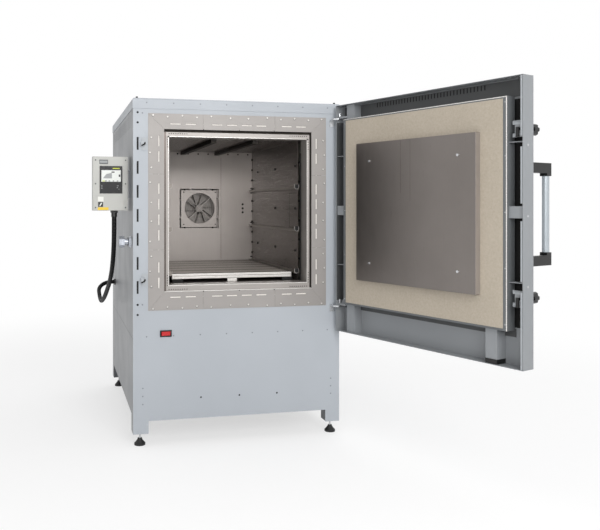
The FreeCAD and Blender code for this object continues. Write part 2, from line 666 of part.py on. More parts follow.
def make_mouth_frame():
    """The inner lip: four L-shaped profiles that butt at the corners."""
    face = (behind_front("mouth_recess"), behind_front("mouth_recess+sheet"))
    tunnel = (behind_front("mouth_recess+sheet"), behind_front("mouth_depth"))
    low = fuse(
        block(both("mouth_half+mouth_lip_side"), face, ("mouth_low-mouth_lip_low", "mouth_low")),
        block(both("mouth_half+sheet"), tunnel, ("mouth_low-sheet", "mouth_low")))
    high = fuse(
        block(both("mouth_half+mouth_lip_side"), face, ("mouth_high", "mouth_high+mouth_lip_high")),
        block(both("mouth_half+sheet"), tunnel, ("mouth_high", "mouth_high+sheet")))
    right = fuse(
        block(("mouth_half", "mouth_half+mouth_lip_side"), face, ("mouth_low", "mouth_high")),
        block(("mouth_half", "mouth_half+sheet"), tunnel, ("mouth_low", "mouth_high")))
    piece("mouth_frame", group(low, high, right, mirrored(right, (1, 0, 0))))


def make_insulation():
    side_y = both(POST_IN_Y)
    wide = ("deck_top", "body_top-beam_width")
    left = block((f"-({SIDE})+sheet", f"-({HOT_HALF})"), side_y, wide)
    port = rod("+x", "port_neck_radius", (f"-({SIDE})", behind_front("port_back"), "port_height"),
               "body_width/2")
    right = block((HOT_HALF, "body_width/2-sheet"), side_y, wide)
    piece("insulation_sides", group(cut(left, port), right))
    piece("insulation_top", group(block(both(HOT_HALF), side_y, (f"{CEILING_Z}+sheet", "body_top"))))
    piece("insulation_bottom", group(block(both(HOT_HALF), side_y, ("deck_top", f"{FLOOR_Z}-sheet"))))
    rear = block(both(HOT_HALF), (REAR_WALL_Y, f"{BACK}-sheet"), (f"{FLOOR_Z}-sheet", f"{CEILING_Z}+sheet"))
    length = "body_depth/2"
    piece("insulation_rear", cut(
        rear,
        rod("+y", "shaft_hole_radius", (0, BAFFLE_Y, "fan_height"), length),
        rod("+y", "exhaust_radius", ("exhaust_x", BAFFLE_Y, "exhaust_height"), length),
        rod("+y", "probe_radius", ("probe_x", BAFFLE_Y, "fan_height"), length)))


def make_mouth_insulation():
    """Four boards behind the collar, stepped back round the mouth frame's lip."""
    deep = (f"{FRONT}+sheet", f"{FRONT}+sheet+mouth_insulation")
    groove = block(both("collar_in_half"), (f"{FRONT}", f"{FRONT}+mouth_groove"),
                   ("collar_in_low", "collar_in_high"))
    low = block(both(POST_IN_X), deep, ("deck_top", FLOOR_Z))
    high = block(both(POST_IN_X), deep, (CEILING_Z, "body_top-beam_width"))
    right = block(("mouth_half+sheet", POST_IN_X), deep, (FLOOR_Z, CEILING_Z))
    left = block((f"-({POST_IN_X})", "-mouth_half-sheet"), deep, (FLOOR_Z, CEILING_Z))
    piece("insulation_mouth", group(*[cut(board, groove) for board in (low, high, right, left)]))


def make_chamber():
    depth = (f"-({POST_IN_Y})", REAR_WALL_Y)
    walls = (behind_front("baffle_start"), f"{BAFFLE_Y}+sheet")
    height = (FLOOR_Z, CEILING_Z)
    piece("chamber_floor", group(block(both(HOT_HALF), depth, (f"{FLOOR_Z}-sheet", FLOOR_Z))))
    piece("chamber_ceiling", group(block(both(HOT_HALF), depth, (CEILING_Z, f"{CEILING_Z}+sheet"))))
    right = block(("chamber_half", "chamber_half+sheet"), walls, height)
    piece("side_baffles", both_sides(right))
    plate = block(both("chamber_half"), (BAFFLE_Y, f"{BAFFLE_Y}+sheet"), height)
    across = (f"{BAFFLE_Y}-sheet", f"{BAFFLE_Y}+2*sheet")
    window = "guard_half+guard_gap"
    holes = [block(both(window), across, (f"fan_height-({window})", f"fan_height+{window}"))]
    for step in (-1, 0, 1):
        start = ("probe_x", across[0], f"fan_height+{step}*probe_pitch")
        holes.append(rod("+y", "probe_hole", start, "3*sheet"))
    piece("rear_baffle", cut(plate, *holes))


def make_rails():
    """Three ledges on each side baffle, each with a small stop at its front end."""
    items = []
    start, end = behind_front("baffle_start-rail_stop_length"), BAFFLE_Y
    for level in range(3):
        top = f"rail_top-{level}*rail_pitch"
        ledge = block(("chamber_half-rail_reach", "chamber_half"), (start, end),
                      (f"{top}-rail_sheet", top))
        hook = block(("chamber_half-rail_reach", "chamber_half-rail_reach+rail_sheet"),
                     (start, end), (f"{top}-rail_height/2", top))
        stop = block(("chamber_half-rail_reach", "chamber_half"),
                     (start, f"{start}+rail_sheet"), (f"{top}-rail_height/2", f"{top}+rail_stop_rise"))
        rail = fuse(ledge, hook, stop)
        items += [rail, mirrored(rail, (1, 0, 0))]
    piece("shelf_rails", group(*items))


def make_ceiling_bars():
    bar = block(("bar_offset-bar_width/2", "bar_offset+bar_width/2"),
                (behind_front("mouth_depth+2*sheet"), BAFFLE_Y),
                (f"{CEILING_Z}-bar_height", CEILING_Z))
    piece("ceiling_bars", both_sides(bar))


def make_tray():
    """The ribbed bottom shelf, which slides out of the mouth on three runners."""
    low = f"{FLOOR_Z}+runner_height+tray_play"
    top = f"{low}+tray_height"
    y = (behind_front("tray_front"), behind_front("tray_back"))
    plate_z = (f"{top}-tray_sheet-rib_height", f"{top}-rib_height")
    parts = [
        block(both("tray_half"), y, plate_z),
        block(both("tray_half"), (y[0], f"{y[0]}+tray_sheet"), (low, top)),
        block(both("tray_half"), (f"{y[1]}-tray_sheet", y[1]), (low, top)),
        block(("tray_half-tray_sheet", "tray_half"), y, (low, plate_z[1])),
        block(("-tray_half", "-tray_half+tray_sheet"), y, (low, plate_z[1])),
        block(("-tray_sheet/2", "tray_sheet/2"), y, (low, plate_z[1])),
    ]
    for step in range(1, 23):
        start = f"{y[0]}+{step}*rib_pitch"
        parts.append(block(both("tray_half-tray_sheet"), (start, f"{start}+rib_width"),
                           (plate_z[1], top)))
    piece("tray_shelf", fuse(*parts))
    runner_y = (behind_front("tray_front-tray_height/2"), BAFFLE_Y)
    runner_z = (FLOOR_Z, f"{FLOOR_Z}+runner_height")
    outer = block(("tray_half-runner_width", "tray_half"), runner_y, runner_z)
    middle = block(both("runner_width/2"), runner_y, runner_z)
    piece("shelf_runners", group(outer, mirrored(outer, (1, 0, 0)), middle))


def make_heaters():
    """Hairpin rods behind each side baffle, fixed to the insulation by clips."""
    items = []
    middle = "chamber_half+sheet+heater_gap/2"
    front, back = behind_front("baffle_start+heater_reach"), f"{BAFFLE_Y}-heater_reach"
    for step in range(6):
        height = f"heater_low+{step}*heater_pitch"
        bar = rod("+y", "heater_radius", (middle, front, height), f"({back})-({front})")
        clip_length = "heater_gap/2"
        clips = [rod("+x", "heater_radius", (middle, place, height), clip_length)
                 for place in (front, back)]
        items.append(fuse(bar, *clips))
    right = group(*items)
    piece("heating_elements", group(right, mirrored(right, (1, 0, 0))))


def spun(item, angle):
    """A copy of an item turned about the fan's axis, which runs along Y."""
    copy = group(item)
    rotation = FreeCAD.Rotation(FreeCAD.Vector(0, 1, 0), angle)
    copy.Placement = FreeCAD.Placement(FreeCAD.Vector(), rotation)
    return move(copy, f"-fan_height*sin({angle})", 0, f"fan_height*(1-cos({angle}))")


def make_fan():
    guard_y = (BAFFLE_Y, f"{BAFFLE_Y}+sheet")
    plate = block(both("guard_half"), guard_y, ("fan_height-guard_half", "fan_height+guard_half"))
    hole = rod("+y", "fan_opening", (0, f"{BAFFLE_Y}-sheet", "fan_height"), "3*sheet")
    wires = [ring("+y", f"{step}*guard_ring_pitch", "guard_wire",
                  (0, f"{BAFFLE_Y}+guard_wire", "fan_height")) for step in range(1, 5)]
    spoke = block(both("fan_opening+guard_wire"),
                  (f"{BAFFLE_Y}+guard_wire/2", f"{BAFFLE_Y}+3*guard_wire/2"),
                  ("fan_height-guard_wire", "fan_height+guard_wire"))
    spokes = [spun(spoke, angle) for angle in (45, 135)]
    tab = block(("guard_half/2-guard_tab/2", "guard_half/2+guard_tab/2"),
                (f"{BAFFLE_Y}-sheet", BAFFLE_Y),
                ("fan_height+guard_half-guard_tab", "fan_height+guard_half+guard_tab"))
    tabs = []
    for angle in (0, 90, 180, 270):
        tabs += [spun(tab, angle), spun(mirrored(tab, (1, 0, 0)), angle)]
    piece("fan_guard", fuse(cut(plate, hole), *wires, *spokes, *tabs))

    wheel_y = f"{BAFFLE_Y}+wheel_gap"
    disc_y = f"{wheel_y}+wheel_depth"
    hub = rod("+y", "hub_radius", (0, wheel_y, "fan_height"), "wheel_depth+wheel_disc")
    disc = rod("+y", "wheel_radius", (0, disc_y, "fan_height"), "wheel_disc")
    blade = block(("blade_root", "blade_tip"), (wheel_y, disc_y),
                  ("fan_height+blade_lean/2", "fan_height+blade_lean/2+blade_sheet"))
    blades = [spun(blade, 36 * step) for step in range(10)]
    bore = rod("+y", "fan_shaft_radius", (0, f"{wheel_y}+wheel_depth/2", "fan_height"),
               "wheel_depth")
    wheel = cut(fuse(hub, disc, *blades), bore)
    shaft_start = f"{wheel_y}+wheel_depth/2"
    shaft_end = f"{BACK}+flange_sheet+boss_length+shaft_tail"
    shaft = rod("+y", "fan_shaft_radius", (0, shaft_start, "fan_height"),
                f"({shaft_end})-({shaft_start})")
    piece("fan_wheel", group(wheel, shaft))


def make_motor():
    bore = rod("+y", "fan_shaft_radius+bearing_play", (0, f"{BACK}-sheet", "fan_height"),
               "flange_sheet+boss_length+2*sheet")
    plate = block(both("flange_half"), (BACK, f"{BACK}+flange_sheet"),
                  ("fan_height-flange_half", "fan_height+flange_half"))
    boss = rod("+y", "boss_radius", (0, f"{BACK}+flange_sheet", "fan_height"), "boss_length")
    piece("motor_flange", cut(fuse(plate, boss), bore))
    start = f"{BACK}+flange_sheet+boss_length"
    barrel = rod("+y", "motor_radius-motor_fin", (0, start, "fan_height"), "motor_length")
    fins = []
    for step in range(12):
        fin = block(both("fin_sheet/2"),
                    (f"{start}+fin_start", f"{start}+motor_length-motor_cowl"),
                    ("fan_height", "fan_height+motor_radius"))
        fins.append(spun(fin, 30 * step))
    cowl = rod("+y", "motor_radius", (0, f"{start}+motor_length-motor_cowl", "fan_height"),
               "motor_cowl")
    box = block(("motor_radius-terminal_sink", "motor_radius+terminal_rise"),
                (f"{start}+terminal_start", f"{start}+terminal_start+terminal_length"),
                ("fan_height-terminal_half", "fan_height+terminal_half"))
    hollow = rod("+y", "motor_bore", (0, f"{start}-sheet", "fan_height"), "shaft_tail+2*sheet")
    piece("fan_motor", cut(fuse(barrel, cowl, box, *fins), hollow))


def make_rear_connections():
    pipe_start = REAR_WALL_Y
    length = f"{BACK}+exhaust_reach-({pipe_start})"
    spot = ("exhaust_x", pipe_start, "exhaust_height")
    pipe = cut(rod("+y", "exhaust_radius", spot, length),
               rod("+y", "exhaust_radius-exhaust_wall", spot, length))
    plate_spot = ("exhaust_x", BACK, "exhaust_height")
    plate = cut(rod("+y", "exhaust_collar", plate_spot, "exhaust_collar_sheet"),
                rod("+y", "exhaust_radius", plate_spot, "exhaust_collar_sheet"))
    piece("exhaust_socket", fuse(pipe, plate))
    seat = ("gland_x", BACK, "gland_height")
    solid = fuse(hexagon("+y", "gland_nut", seat, "gland_flat"),
                 rod("+y", "gland_radius", seat, "gland_reach"))
    piece("mains_gland", cut(solid, rod("+y", "gland_bore", seat, "gland_reach")))
    tip = ("probe_x", BAFFLE_Y, "fan_height")
    sheath = rod("+y", "probe_radius", tip, f"{BACK}-({BAFFLE_Y})")
    boss = rod("+y", "probe_boss_radius", ("probe_x", BACK, "fan_height"), "probe_boss_length")
    head = rod("+y", "probe_head_radius", ("probe_x", f"{BACK}+probe_boss_length", "fan_height"),
               "probe_head_length")
    piece("thermocouple", fuse(sheath, boss, head))


def make_side_port():
    seat = (f"-({SIDE})", behind_front("port_back"), "port_height")
    outer = (f"-({SIDE})-port_flange", seat[1], seat[2])
    neck_end = (f"-({SIDE})-port_flange-port_neck", seat[1], seat[2])
    flange = tapered("-x", "port_flange_radius", "port_flange_radius-port_flange_slope", seat, "port_flange")
    neck = rod("-x", "port_neck_radius", outer, "port_neck")
    sleeve = rod("+x", "port_neck_radius", seat, f"{SIDE}-({HOT_HALF})")
    cap = hexagon("-x", "port_cap_radius", neck_end, "port_cap")
    piece("side_port", group(fuse(flange, neck, sleeve), cap))


def make_switch():
    x = ("-switch_x-switch_width/2", "-switch_x+switch_width/2")
    z = ("switch_height-switch_rise/2", "switch_height+switch_rise/2")
    inner_x = (f"{x[0]}+switch_frame", f"{x[1]}-switch_frame")
    inner_z = (f"{z[0]}+switch_frame", f"{z[1]}-switch_frame")
    face = block(x, (before_front("switch_proud"), FRONT), z)
    case = block(inner_x, (FRONT, behind_front("switch_body_depth")), inner_z)
    hollow = block((f"{inner_x[0]}+switch_wall", f"{inner_x[1]}-switch_wall"),
                   (before_front("2*switch_proud"),
                    behind_front("switch_body_depth-switch_back_wall")),
                   (f"{inner_z[0]}+switch_wall", f"{inner_z[1]}-switch_wall"))
    piece("switch_bezel", cut(fuse(face, case), hollow))
    reach = "switch_width/2-switch_frame-switch_wall-rocker_play"
    rise = "switch_rise/2-switch_frame-switch_wall-rocker_play/2"
    paddle = block((f"-switch_x-({reach})", f"-switch_x+{reach}"),
                   (before_front("switch_proud+rocker_out"),
                    behind_front("rocker_depth-switch_proud-rocker_out")),
                   (f"switch_height-({rise})", f"switch_height+{rise}"))
    axle_half = "switch_rise/2-switch_frame-switch_wall-axle_play"
    axle_y = behind_front("axle_back")
    axle = rod("+z", "axle_radius", ("-switch_x", axle_y, f"switch_height-({axle_half})"),
               f"2*({axle_half})")
    rocker = group(fuse(paddle, axle))
    piece("rocker_switch", turned_about_z(rocker, "-switch_x", axle_y, "rocker_tilt"))


def make_controller():
    right = f"-({SIDE})-box_gap"
    left = f"{right}-box_width"
    y = (behind_front("box_back"), behind_front("box_back+box_depth"))
    z = ("box_low", "box_low+box_height")
    shell = block((left, right), (f"{y[0]}+box_lid", y[1]), z)
    hollow = block((f"{left}+box_wall", f"{right}-box_wall"), (y[0], f"{y[1]}-box_wall"),
                   (f"{z[0]}+box_wall", f"{z[1]}-box_wall"))
    bottom = rod("+z", "hose_radius", (*hose_point(0)[:2], f"{z[0]}-box_wall"), "3*box_wall")
    piece("controller_box", cut(shell, hollow, bottom))
    piece("controller_front", group(block((f"{left}+lid_inset/2", f"{right}-lid_inset/2"),
                                          (y[0], f"{y[0]}+box_lid"),
                                          (f"{z[0]}+lid_inset/2", f"{z[1]}-lid_inset/2"))))
    display_x = (f"{left}+display_x", f"{left}+display_x+display_width")
    display_z = (f"{z[1]}-display_drop-display_height", f"{z[1]}-display_drop")
    piece("controller_display", group(block(display_x, (f"{y[0]}-display_proud", y[0]), display_z)))
    bracket_y = (f"{y[1]}-bracket_depth-bracket_back", f"{y[1]}-bracket_back")
    plates = [block((right, f"{right}+bracket_sheet"), bracket_y,
                    ("bracket_low", "bracket_low+bracket_height")),
              block((f"-({SIDE})-bracket_sheet", f"-({SIDE})"), bracket_y,
                    ("bracket_low", "bracket_low+bracket_height"))]
    for step in (0, 1):
        low = f"bracket_low+{step}*(bracket_height-bracket_sheet)"
        plates.append(block((right, f"-({SIDE})"), bracket_y, (low, f"{low}+bracket_sheet")))
    piece("controller_bracket", fuse(*plates))


def make_hose_glands():
    x, y, z = hose_point(0)
    upper = fuse(rod("+z", "hose_gland_radius", (x, y, z), f"box_low-{z}"),
                 hexagon("+z", "hose_nut", (x, y, "box_low-hose_gland_length/3"),
                         "hose_gland_length/3"))
    x, y, z = hose_point(-1)
    lower = fuse(rod("+x", "hose_gland_radius", (x, y, z), f"-({SIDE})-({x})"),
                 hexagon("+x", "hose_nut", (f"-({SIDE})-hose_gland_length/4", y, z),
                         "hose_gland_length/4"))
    piece("hose_glands", group(upper, lower))


def rounded_route(points, share=0.45):
    """Straight runs joined by tangent arcs, as large as the two runs at a corner allow."""
    corners = [FreeCAD.Vector(*point) for point in points]
    edges, radii, start = [], [], corners[0]
    for before, corner, after in zip(corners, corners[1:], corners[2:]):
        back, ahead = before - corner, after - corner
        reach = share * min(back.Length, ahead.Length)
        turn = math.pi - back.getAngle(ahead)
        radius = reach / math.tan(turn / 2)
        back.normalize()
        ahead.normalize()
        into, out = corner + back * reach, corner + ahead * reach
        middle_line = (back + ahead).normalize()
        to_centre = math.hypot(radius, reach)
        middle = corner + middle_line * (to_centre - radius)
        edges.append(Part.LineSegment(start, into).toShape())
        edges.append(Part.Arc(into, middle, out).toShape())
        radii.append(radius)
        start = out
    edges.append(Part.LineSegment(start, corners[-1]).toShape())
    return Part.Wire(edges), radii


def make_hose():
    radius = value("hose_radius")
    points = [[value(text) for text in hose_point(number)] for number in range(len(HOSE_ROUTE))]
    path, radii = rounded_route(points)
    first = path.Edges[0]
    profile = Part.Wire([Part.Circle(first.valueAt(first.FirstParameter),
                                     first.tangentAt(first.FirstParameter), radius).toShape()])
    hose = doc.addObject("Part::Feature", "hose_form")
    hose.Shape = path.makePipeShell([profile], True, False)
    expected = math.pi * radius ** 2 * path.Length
    print("hose: length %.0f, radii %s" % (path.Length, [round(item) for item in radii]))
    print("hose: volume over section times length %.4f" % (hose.Shape.Volume / expected))
    piece("controller_hose", hose)


def make_switchgear():
    """The plate in the lower bay with a row of devices on it, on two legs from the beams."""
    x = both("gear_plate_width/2")
    low = "base_ring_low+beam_width+gear_plate_gap"
    plate = block(x, ("gear_plate_y", "gear_plate_y+gear_plate_sheet"),
                  (low, f"{low}+gear_plate_height"))
    devices = []
    for row in (0, 1):
        for step in range(-3, 4):
            left = f"({step}-0.5)*device_pitch+(device_pitch-device_width)/2"
            bottom = f"{low}+device_inset+{row}*(device_height+device_row_gap)"
            devices.append(block((left, f"{left}+device_width"),
                                 ("gear_plate_y-device_depth", "gear_plate_y"),
                                 (bottom, f"{bottom}+device_height")))
    hanger = block(("gear_plate_width/2-hanger_width", "gear_plate_width/2"),
                   ("gear_plate_y", "gear_plate_y+gear_plate_sheet"),
                   (f"{low}+gear_plate_height", "deck_top-beam_width"))
    foot_top = block(("gear_plate_width/2-hanger_width", "gear_plate_width/2"),
                     ("gear_plate_y", "body_depth/5+beam_width/2"),
                     ("deck_top-beam_width-gear_plate_sheet", "deck_top-beam_width"))
    carrier = fuse(plate, hanger, mirrored(hanger, (1, 0, 0)), foot_top,
                   mirrored(foot_top, (1, 0, 0)))
    piece("switchgear", group(carrier, *devices))


def hinge_levels():
    """The height of the underside of each hinge arm: above the liner, and below it."""
    return "liner_high+hinge_clear+hinge_lift", "liner_low-hinge_clear-arm_sheet"


def flat_bar(points, width, low, thick):
    """A flat bar of constant width along a bent centre line, with round joints."""
    shapes = []
    for near, far in zip(points, points[1:]):
        run = FreeCAD.Vector(far[0] - near[0], far[1] - near[1], 0)
        bar = Part.makeBox(run.Length, width, thick)
        angle = math.degrees(math.atan2(run.y, run.x))
        turn = FreeCAD.Rotation(FreeCAD.Vector(0, 0, 1), angle)
        bar.Placement = FreeCAD.Placement(FreeCAD.Vector(near[0], near[1], low), turn).multiply(
            FreeCAD.Placement(FreeCAD.Vector(0, -width / 2, 0), FreeCAD.Rotation()))
        shapes.append(bar)
    for x, y in points[1:-1]:
        shapes.append(Part.makeCylinder(width / 2, thick, FreeCAD.Vector(x, y, low)))
    item = doc.addObject("Part::Feature", "Bar")
    item.Shape = shapes[0].fuse(shapes[1:]).removeSplitter()
    return item


def make_hinge_brackets():
    """Two brackets on the front panel: a leaf and a bent hook that carries the pin."""
    axis_x, axis_y, front = value("hinge_x"), value(HINGE_Y), value(FRONT)
    line = [
        (axis_x, axis_y),
        (axis_x - value("hook_middle"), axis_y - value("hook_deep")),
        (axis_x - value("hook_in"), axis_y - value("hook_back")),
        (axis_x - value("hook_in"), front - value("leaf_sheet") / 2),
    ]
    items = []
    for arm_low in hinge_levels():
        hook_top = f"{arm_low}-hinge_washer"
        hook = flat_bar(line, value("hook_width"), value(f"{hook_top}-hinge_sheet"),
                        value("hinge_sheet"))
        eye = rod("+z", "eye_radius", ("hinge_x", HINGE_Y, f"{hook_top}-hinge_sheet"),
                  "hinge_sheet")
        leaf_left = "hinge_x-hook_in-hook_width/2"
        leaf = block((leaf_left, f"{leaf_left}+leaf_width"), (before_front("leaf_sheet"), FRONT),
                     (f"{hook_top}-leaf_height", hook_top))
        pin = rod("+z", "pin_radius", ("hinge_x", HINGE_Y, f"{hook_top}-hinge_sheet"),
                  "hinge_sheet+hinge_washer+arm_sheet+pin_rise")
        items.append(fuse(hook, eye, leaf, pin))
    piece("hinge_brackets", group(*items))


def make_door_shell():
    x = (PAN_FREE, PAN_HINGE)
    outer = block(x, (SKIN_Y, RIM_Y), ("door_low", "door_high"))
    hollow = block((f"{x[0]}+sheet", f"{x[1]}-sheet"), (f"{SKIN_Y}+sheet", f"{RIM_Y}+sheet"),
                   ("door_low+sheet", "door_high-sheet"))
    holes = []
    for level in range(2):
        spot = ("-latch_x", f"{SKIN_Y}-sheet", f"latch_top-{level}*latch_pitch")
        holes.append(rod("+y", "spindle_radius+pin_play", spot, "3*sheet"))
    door_piece("door_shell", cut(outer, hollow, *holes))


def make_door_liner():
    """The insulated box on the door's inner side, with its board and shield plate."""
    x = both("liner_half")
    y_face = f"{RIM_Y}+liner_proud"
    y_back = f"{y_face}-liner_depth"
    outer = block(x, (y_back, y_face), ("liner_low", "liner_high"))
    hollow_x = both("liner_half-sheet")
    hollow_z = ("liner_low+sheet", "liner_high-sheet")
    hollow = block(hollow_x, (f"{y_back}+sheet", f"{y_face}-sheet"), hollow_z)
    window_x = both("liner_half-liner_side_flange")
    window_z = ("liner_low+liner_end_flange", "liner_high-liner_end_flange")
    window = block(window_x, (f"{y_face}-2*sheet", f"{y_face}+sheet"), window_z)
    door_piece("door_liner", cut(outer, fuse(hollow, window)))
    board_face = f"{y_face}+board_proud"
    board_back = f"{board_face}-board_sheet"
    door_piece("door_board", block(window_x, (board_back, board_face), window_z))
    door_piece("door_insulation", block(hollow_x, (f"{y_back}+sheet", board_back), hollow_z))
    make_door_shield(board_face)


def make_door_shield(board_face):
    front = f"{board_face}+shield_edge"
    y = (board_face, front)
    z = ("shield_low", "shield_high")
    plate = block(both("shield_half"), y, z)
    hollow = block(both("shield_half-sheet"), (f"{y[0]}-sheet", f"{front}-sheet"),
                   ("shield_low+sheet", "shield_high-sheet"))
    spots = [(f"{side}*(shield_half-shield_bolt_in)", height)
             for side in (-1, 1) for height in ("shield_low+shield_bolt_in",
                                                "shield_high-shield_bolt_in")]
    bores = [rod("+y", "shield_bolt_radius/2", (x, f"{front}-2*sheet", z_spot), "3*sheet")
             for x, z_spot in spots]
    door_piece("door_shield", cut(plate, hollow, *bores))
    bolts = []
    for x, height in spots:
        spacer = rod("+y", "shield_spacer_radius", (x, board_face, height),
                     f"{front}-sheet-({board_face})")
        shank = rod("+y", "shield_bolt_radius/2", (x, f"{front}-sheet", height), "sheet")
        head = rod("+y", "shield_bolt_radius", (x, front, height), "shield_bolt_head")
        bolts.append(fuse(spacer, shank, head))
    door_piece("shield_bolts", group(*bolts))


def u_guide(middle):
    """The small open bracket behind each latch at the door's free edge."""
    x = (f"{PAN_FREE}+sheet", f"{PAN_FREE}+sheet+guide_width")
    y = (f"{RIM_Y}-guide_depth-2*sheet", f"{RIM_Y}-2*sheet")
    outer = block(x, y, (f"{middle}-guide_height/2", f"{middle}+guide_height/2"))
    inner = block((x[0], x[1]), (f"{y[0]}+sheet", y[1]),
                  (f"{middle}-guide_height/2+sheet", f"{middle}+guide_height/2-sheet"))
    bore = rod("+y", "spindle_radius+pin_play", ("-latch_x", f"{y[0]}-sheet", middle), "3*sheet")
    return cut(outer, inner, bore)


def make_door_ties():
    """What holds the liner in the pan: side brackets, two strips and two long spacers."""
    skin = f"{SKIN_Y}+sheet"
    back = f"{RIM_Y}+liner_proud-liner_depth"
    top_y = f"{RIM_Y}-tie_inset"
    items = [u_guide(f"latch_top-{level}*latch_pitch") for level in range(2)]
    for level in range(3):
        middle = f"tie_top-{level}*tie_pitch"
        for near, far in ((f"{PAN_FREE}+sheet", "-liner_half"),
                          ("liner_half", f"{PAN_HINGE}-sheet")):
            web = block((near, far), (back, f"{top_y}-tie_sheet"),
                        (f"{middle}-tie_sheet/2", f"{middle}+tie_sheet/2"))
            height = "tie_height/2" if level == 1 else "tie_sheet/2"
            flat = block((near, far), (f"{top_y}-tie_sheet", top_y),
                         (f"{middle}-{height}", f"{middle}+{height}"))
            items.append(fuse(flat, web))
    strip_x = ("liner_half-stiffener_width", "liner_half")
    for z in (("liner_high", "door_high-sheet"), ("door_low+sheet", "liner_low")):
        outer = block(strip_x, (skin, f"{skin}+stiffener_depth"), z)
        inner = block((f"{strip_x[0]}+sheet", f"{strip_x[1]}-sheet"),
                      (skin, f"{skin}+stiffener_depth-sheet"), z)
        items.append(cut(outer, inner))
    for low in ("-liner_half+3*skin_spacer", "liner_half-4*skin_spacer"):
        items.append(block((low, f"{low}+skin_spacer"), (skin, back),
                           ("liner_low+2*skin_spacer", "liner_high-2*skin_spacer")))
    door_piece("door_ties", group(*items))


def make_door_support():
    """The channel below the liner near the free edge, on the black pad at the door's foot."""
    x = ("-support_x-support_width/2", "-support_x+support_width/2")
    skin = f"{SKIN_Y}+sheet"
    face = f"{skin}+support_depth"
    outer = block(x, (skin, face), ("support_low", "liner_low"))
    inner = block((f"{x[0]}+support_sheet", f"{x[1]}-support_sheet"),
                  (skin, f"{face}-support_sheet"), ("support_low+support_sheet", "liner_low"))
    door_piece("door_support", group(cut(outer, inner)))
    door_piece("support_pad", block(x, (skin, f"{face}+sheet"),
                                    ("door_low+sheet", "support_low")))


def make_hinge_arms():
    """Plates in the corner of the pan, with the bores for the pins; the lower has a gusset."""
    x = ("liner_half", f"{PAN_HINGE}-sheet")
    arms = []
    for number, arm_low in enumerate(hinge_levels()):
        z = (arm_low, f"{arm_low}+arm_sheet")
        plate = block(x, (f"{SKIN_Y}+sheet", f"{HINGE_Y}+arm_forward"), z)
        bore = rod("+z", "pin_radius+pin_play", ("hinge_x", HINGE_Y, f"{arm_low}-sheet"),
                   "arm_sheet+2*sheet")
        parts = [plate]
        if number == 1:
            gusset = doc.addObject("Part::Wedge", "Gusset")
            for name, text in (("Xmin", 0), ("Xmax", "hinge_x-liner_half-2*pin_radius"),
                               ("Ymin", 0), ("Ymax", "gusset_height"), ("Zmin", 0),
                               ("Zmax", "tie_sheet"), ("X2min", 0), ("X2max", "tie_sheet"),
                               ("Z2min", 0), ("Z2max", "tie_sheet")):
                bind(gusset, name, text)
            face_along(gusset, "-y")
            parts.append(move(gusset, "liner_half", f"{HINGE_Y}-sheet", z[1]))
        arms.append(cut(fuse(*parts) if len(parts) > 1 else plate, bore))
    door_piece("hinge_arms", group(*arms))


def make_handle():
    x = ("-latch_x-bracket_wide/2", "-latch_x+bracket_wide/2")
    stand = f"{SKIN_Y}-grip_stand"
    items = []
    for side in (-1, 1):
        grip_end = f"grip_height+{side}*grip_length/2"
        near = f"{grip_end}+{side}*bracket_neck"
        far = f"{near}+{side}*bracket_arm"
        outer = f"{stand}-bracket_over"
        leg = block(x, (outer, SKIN_Y), (far, near) if side < 0 else (near, far))
        neck = block(x, (outer, f"{stand}+bracket_over"),
                     (near, grip_end) if side < 0 else (grip_end, near))
        items.append(fuse(leg, neck))
    door_piece("handle_brackets", group(*items))
    start = ("-latch_x", stand, "grip_height-grip_length/2")
    door_piece("handle_grip", cut(rod("+z", "grip_radius", start, "grip_length"),
                                  rod("+z", "grip_radius-grip_wall", start, "grip_length")))


def make_latch(name, height):
    """A star knob on a spindle that ends in a flat tongue behind the door's rim."""
    neck_y = f"{SKIN_Y}-knob_gap"
    knob_y = f"{SKIN_Y}-knob_stand"
    spot = ("-latch_x", neck_y, height)
    neck = rod("-y", "knob_neck", spot, "knob_stand-knob_gap")
    head = rod("-y", "knob_radius", ("-latch_x", knob_y, height), "knob_depth")
    scallops = []
    for step in range(6):
        angle = 60 * step + 30
        across = f"-latch_x+(knob_radius+scallop_out)*cos({angle})"
        up = f"{height}+(knob_radius+scallop_out)*sin({angle})"
        scallops.append(rod("-y", "knob_scallop", (across, f"{knob_y}+cut_over", up),
                            "knob_depth+2*cut_over"))
    tongue_y = before_front("tongue_out")
    socket = rod("-y", "spindle_radius", spot, "knob_stand")
    knob = cut(fuse(neck, head), *scallops, socket)
    shank = rod("-y", "spindle_radius", ("-latch_x", tongue_y, height),
                f"{tongue_y}-({neck_y})+knob_stand")
    tongue = block(("-latch_x-tongue_width/2", "-latch_x+tongue_width/2"),
                   (f"{tongue_y}-tongue_sheet", tongue_y),
                   (f"{height}-tongue_length", f"{height}+tongue_width/2"))
    door_piece(name, group(knob, fuse(shank, tongue)))


def make_catches():
    """The keeper of each latch: a plate on the front panel with a hook for the tongue."""
    items = []
    for level in range(2):
        middle = f"latch_top-{level}*latch_pitch"
        x = ("-keeper_x-keeper_width/2", "-keeper_x+keeper_width/2")
        hook_x = ("-latch_x+keeper_reach", "-latch_x+keeper_reach+keeper_lip")
        plate = block(x, (before_front("keeper_sheet"), FRONT),
                      (f"{middle}-keeper_height/2", f"{middle}+keeper_height/2"))
        post = block(hook_x, (before_front("keeper_out"), FRONT),
                     (f"{middle}+keeper_clear", f"{middle}+keeper_clear+keeper_post"))
        lip = block(hook_x, (before_front("keeper_out"),
                             before_front("keeper_out-keeper_lip_sheet")),
                    (f"{middle}-keeper_clear", f"{middle}+keeper_clear+keeper_post"))
        screw = rod("-y", "keeper_screw", ("-keeper_x", before_front("keeper_sheet"),
                                           f"{middle}-keeper_height/4"), "rivet_head")
        items.append(fuse(plate, post, lip, screw))
    piece("latch_catches", group(*items))


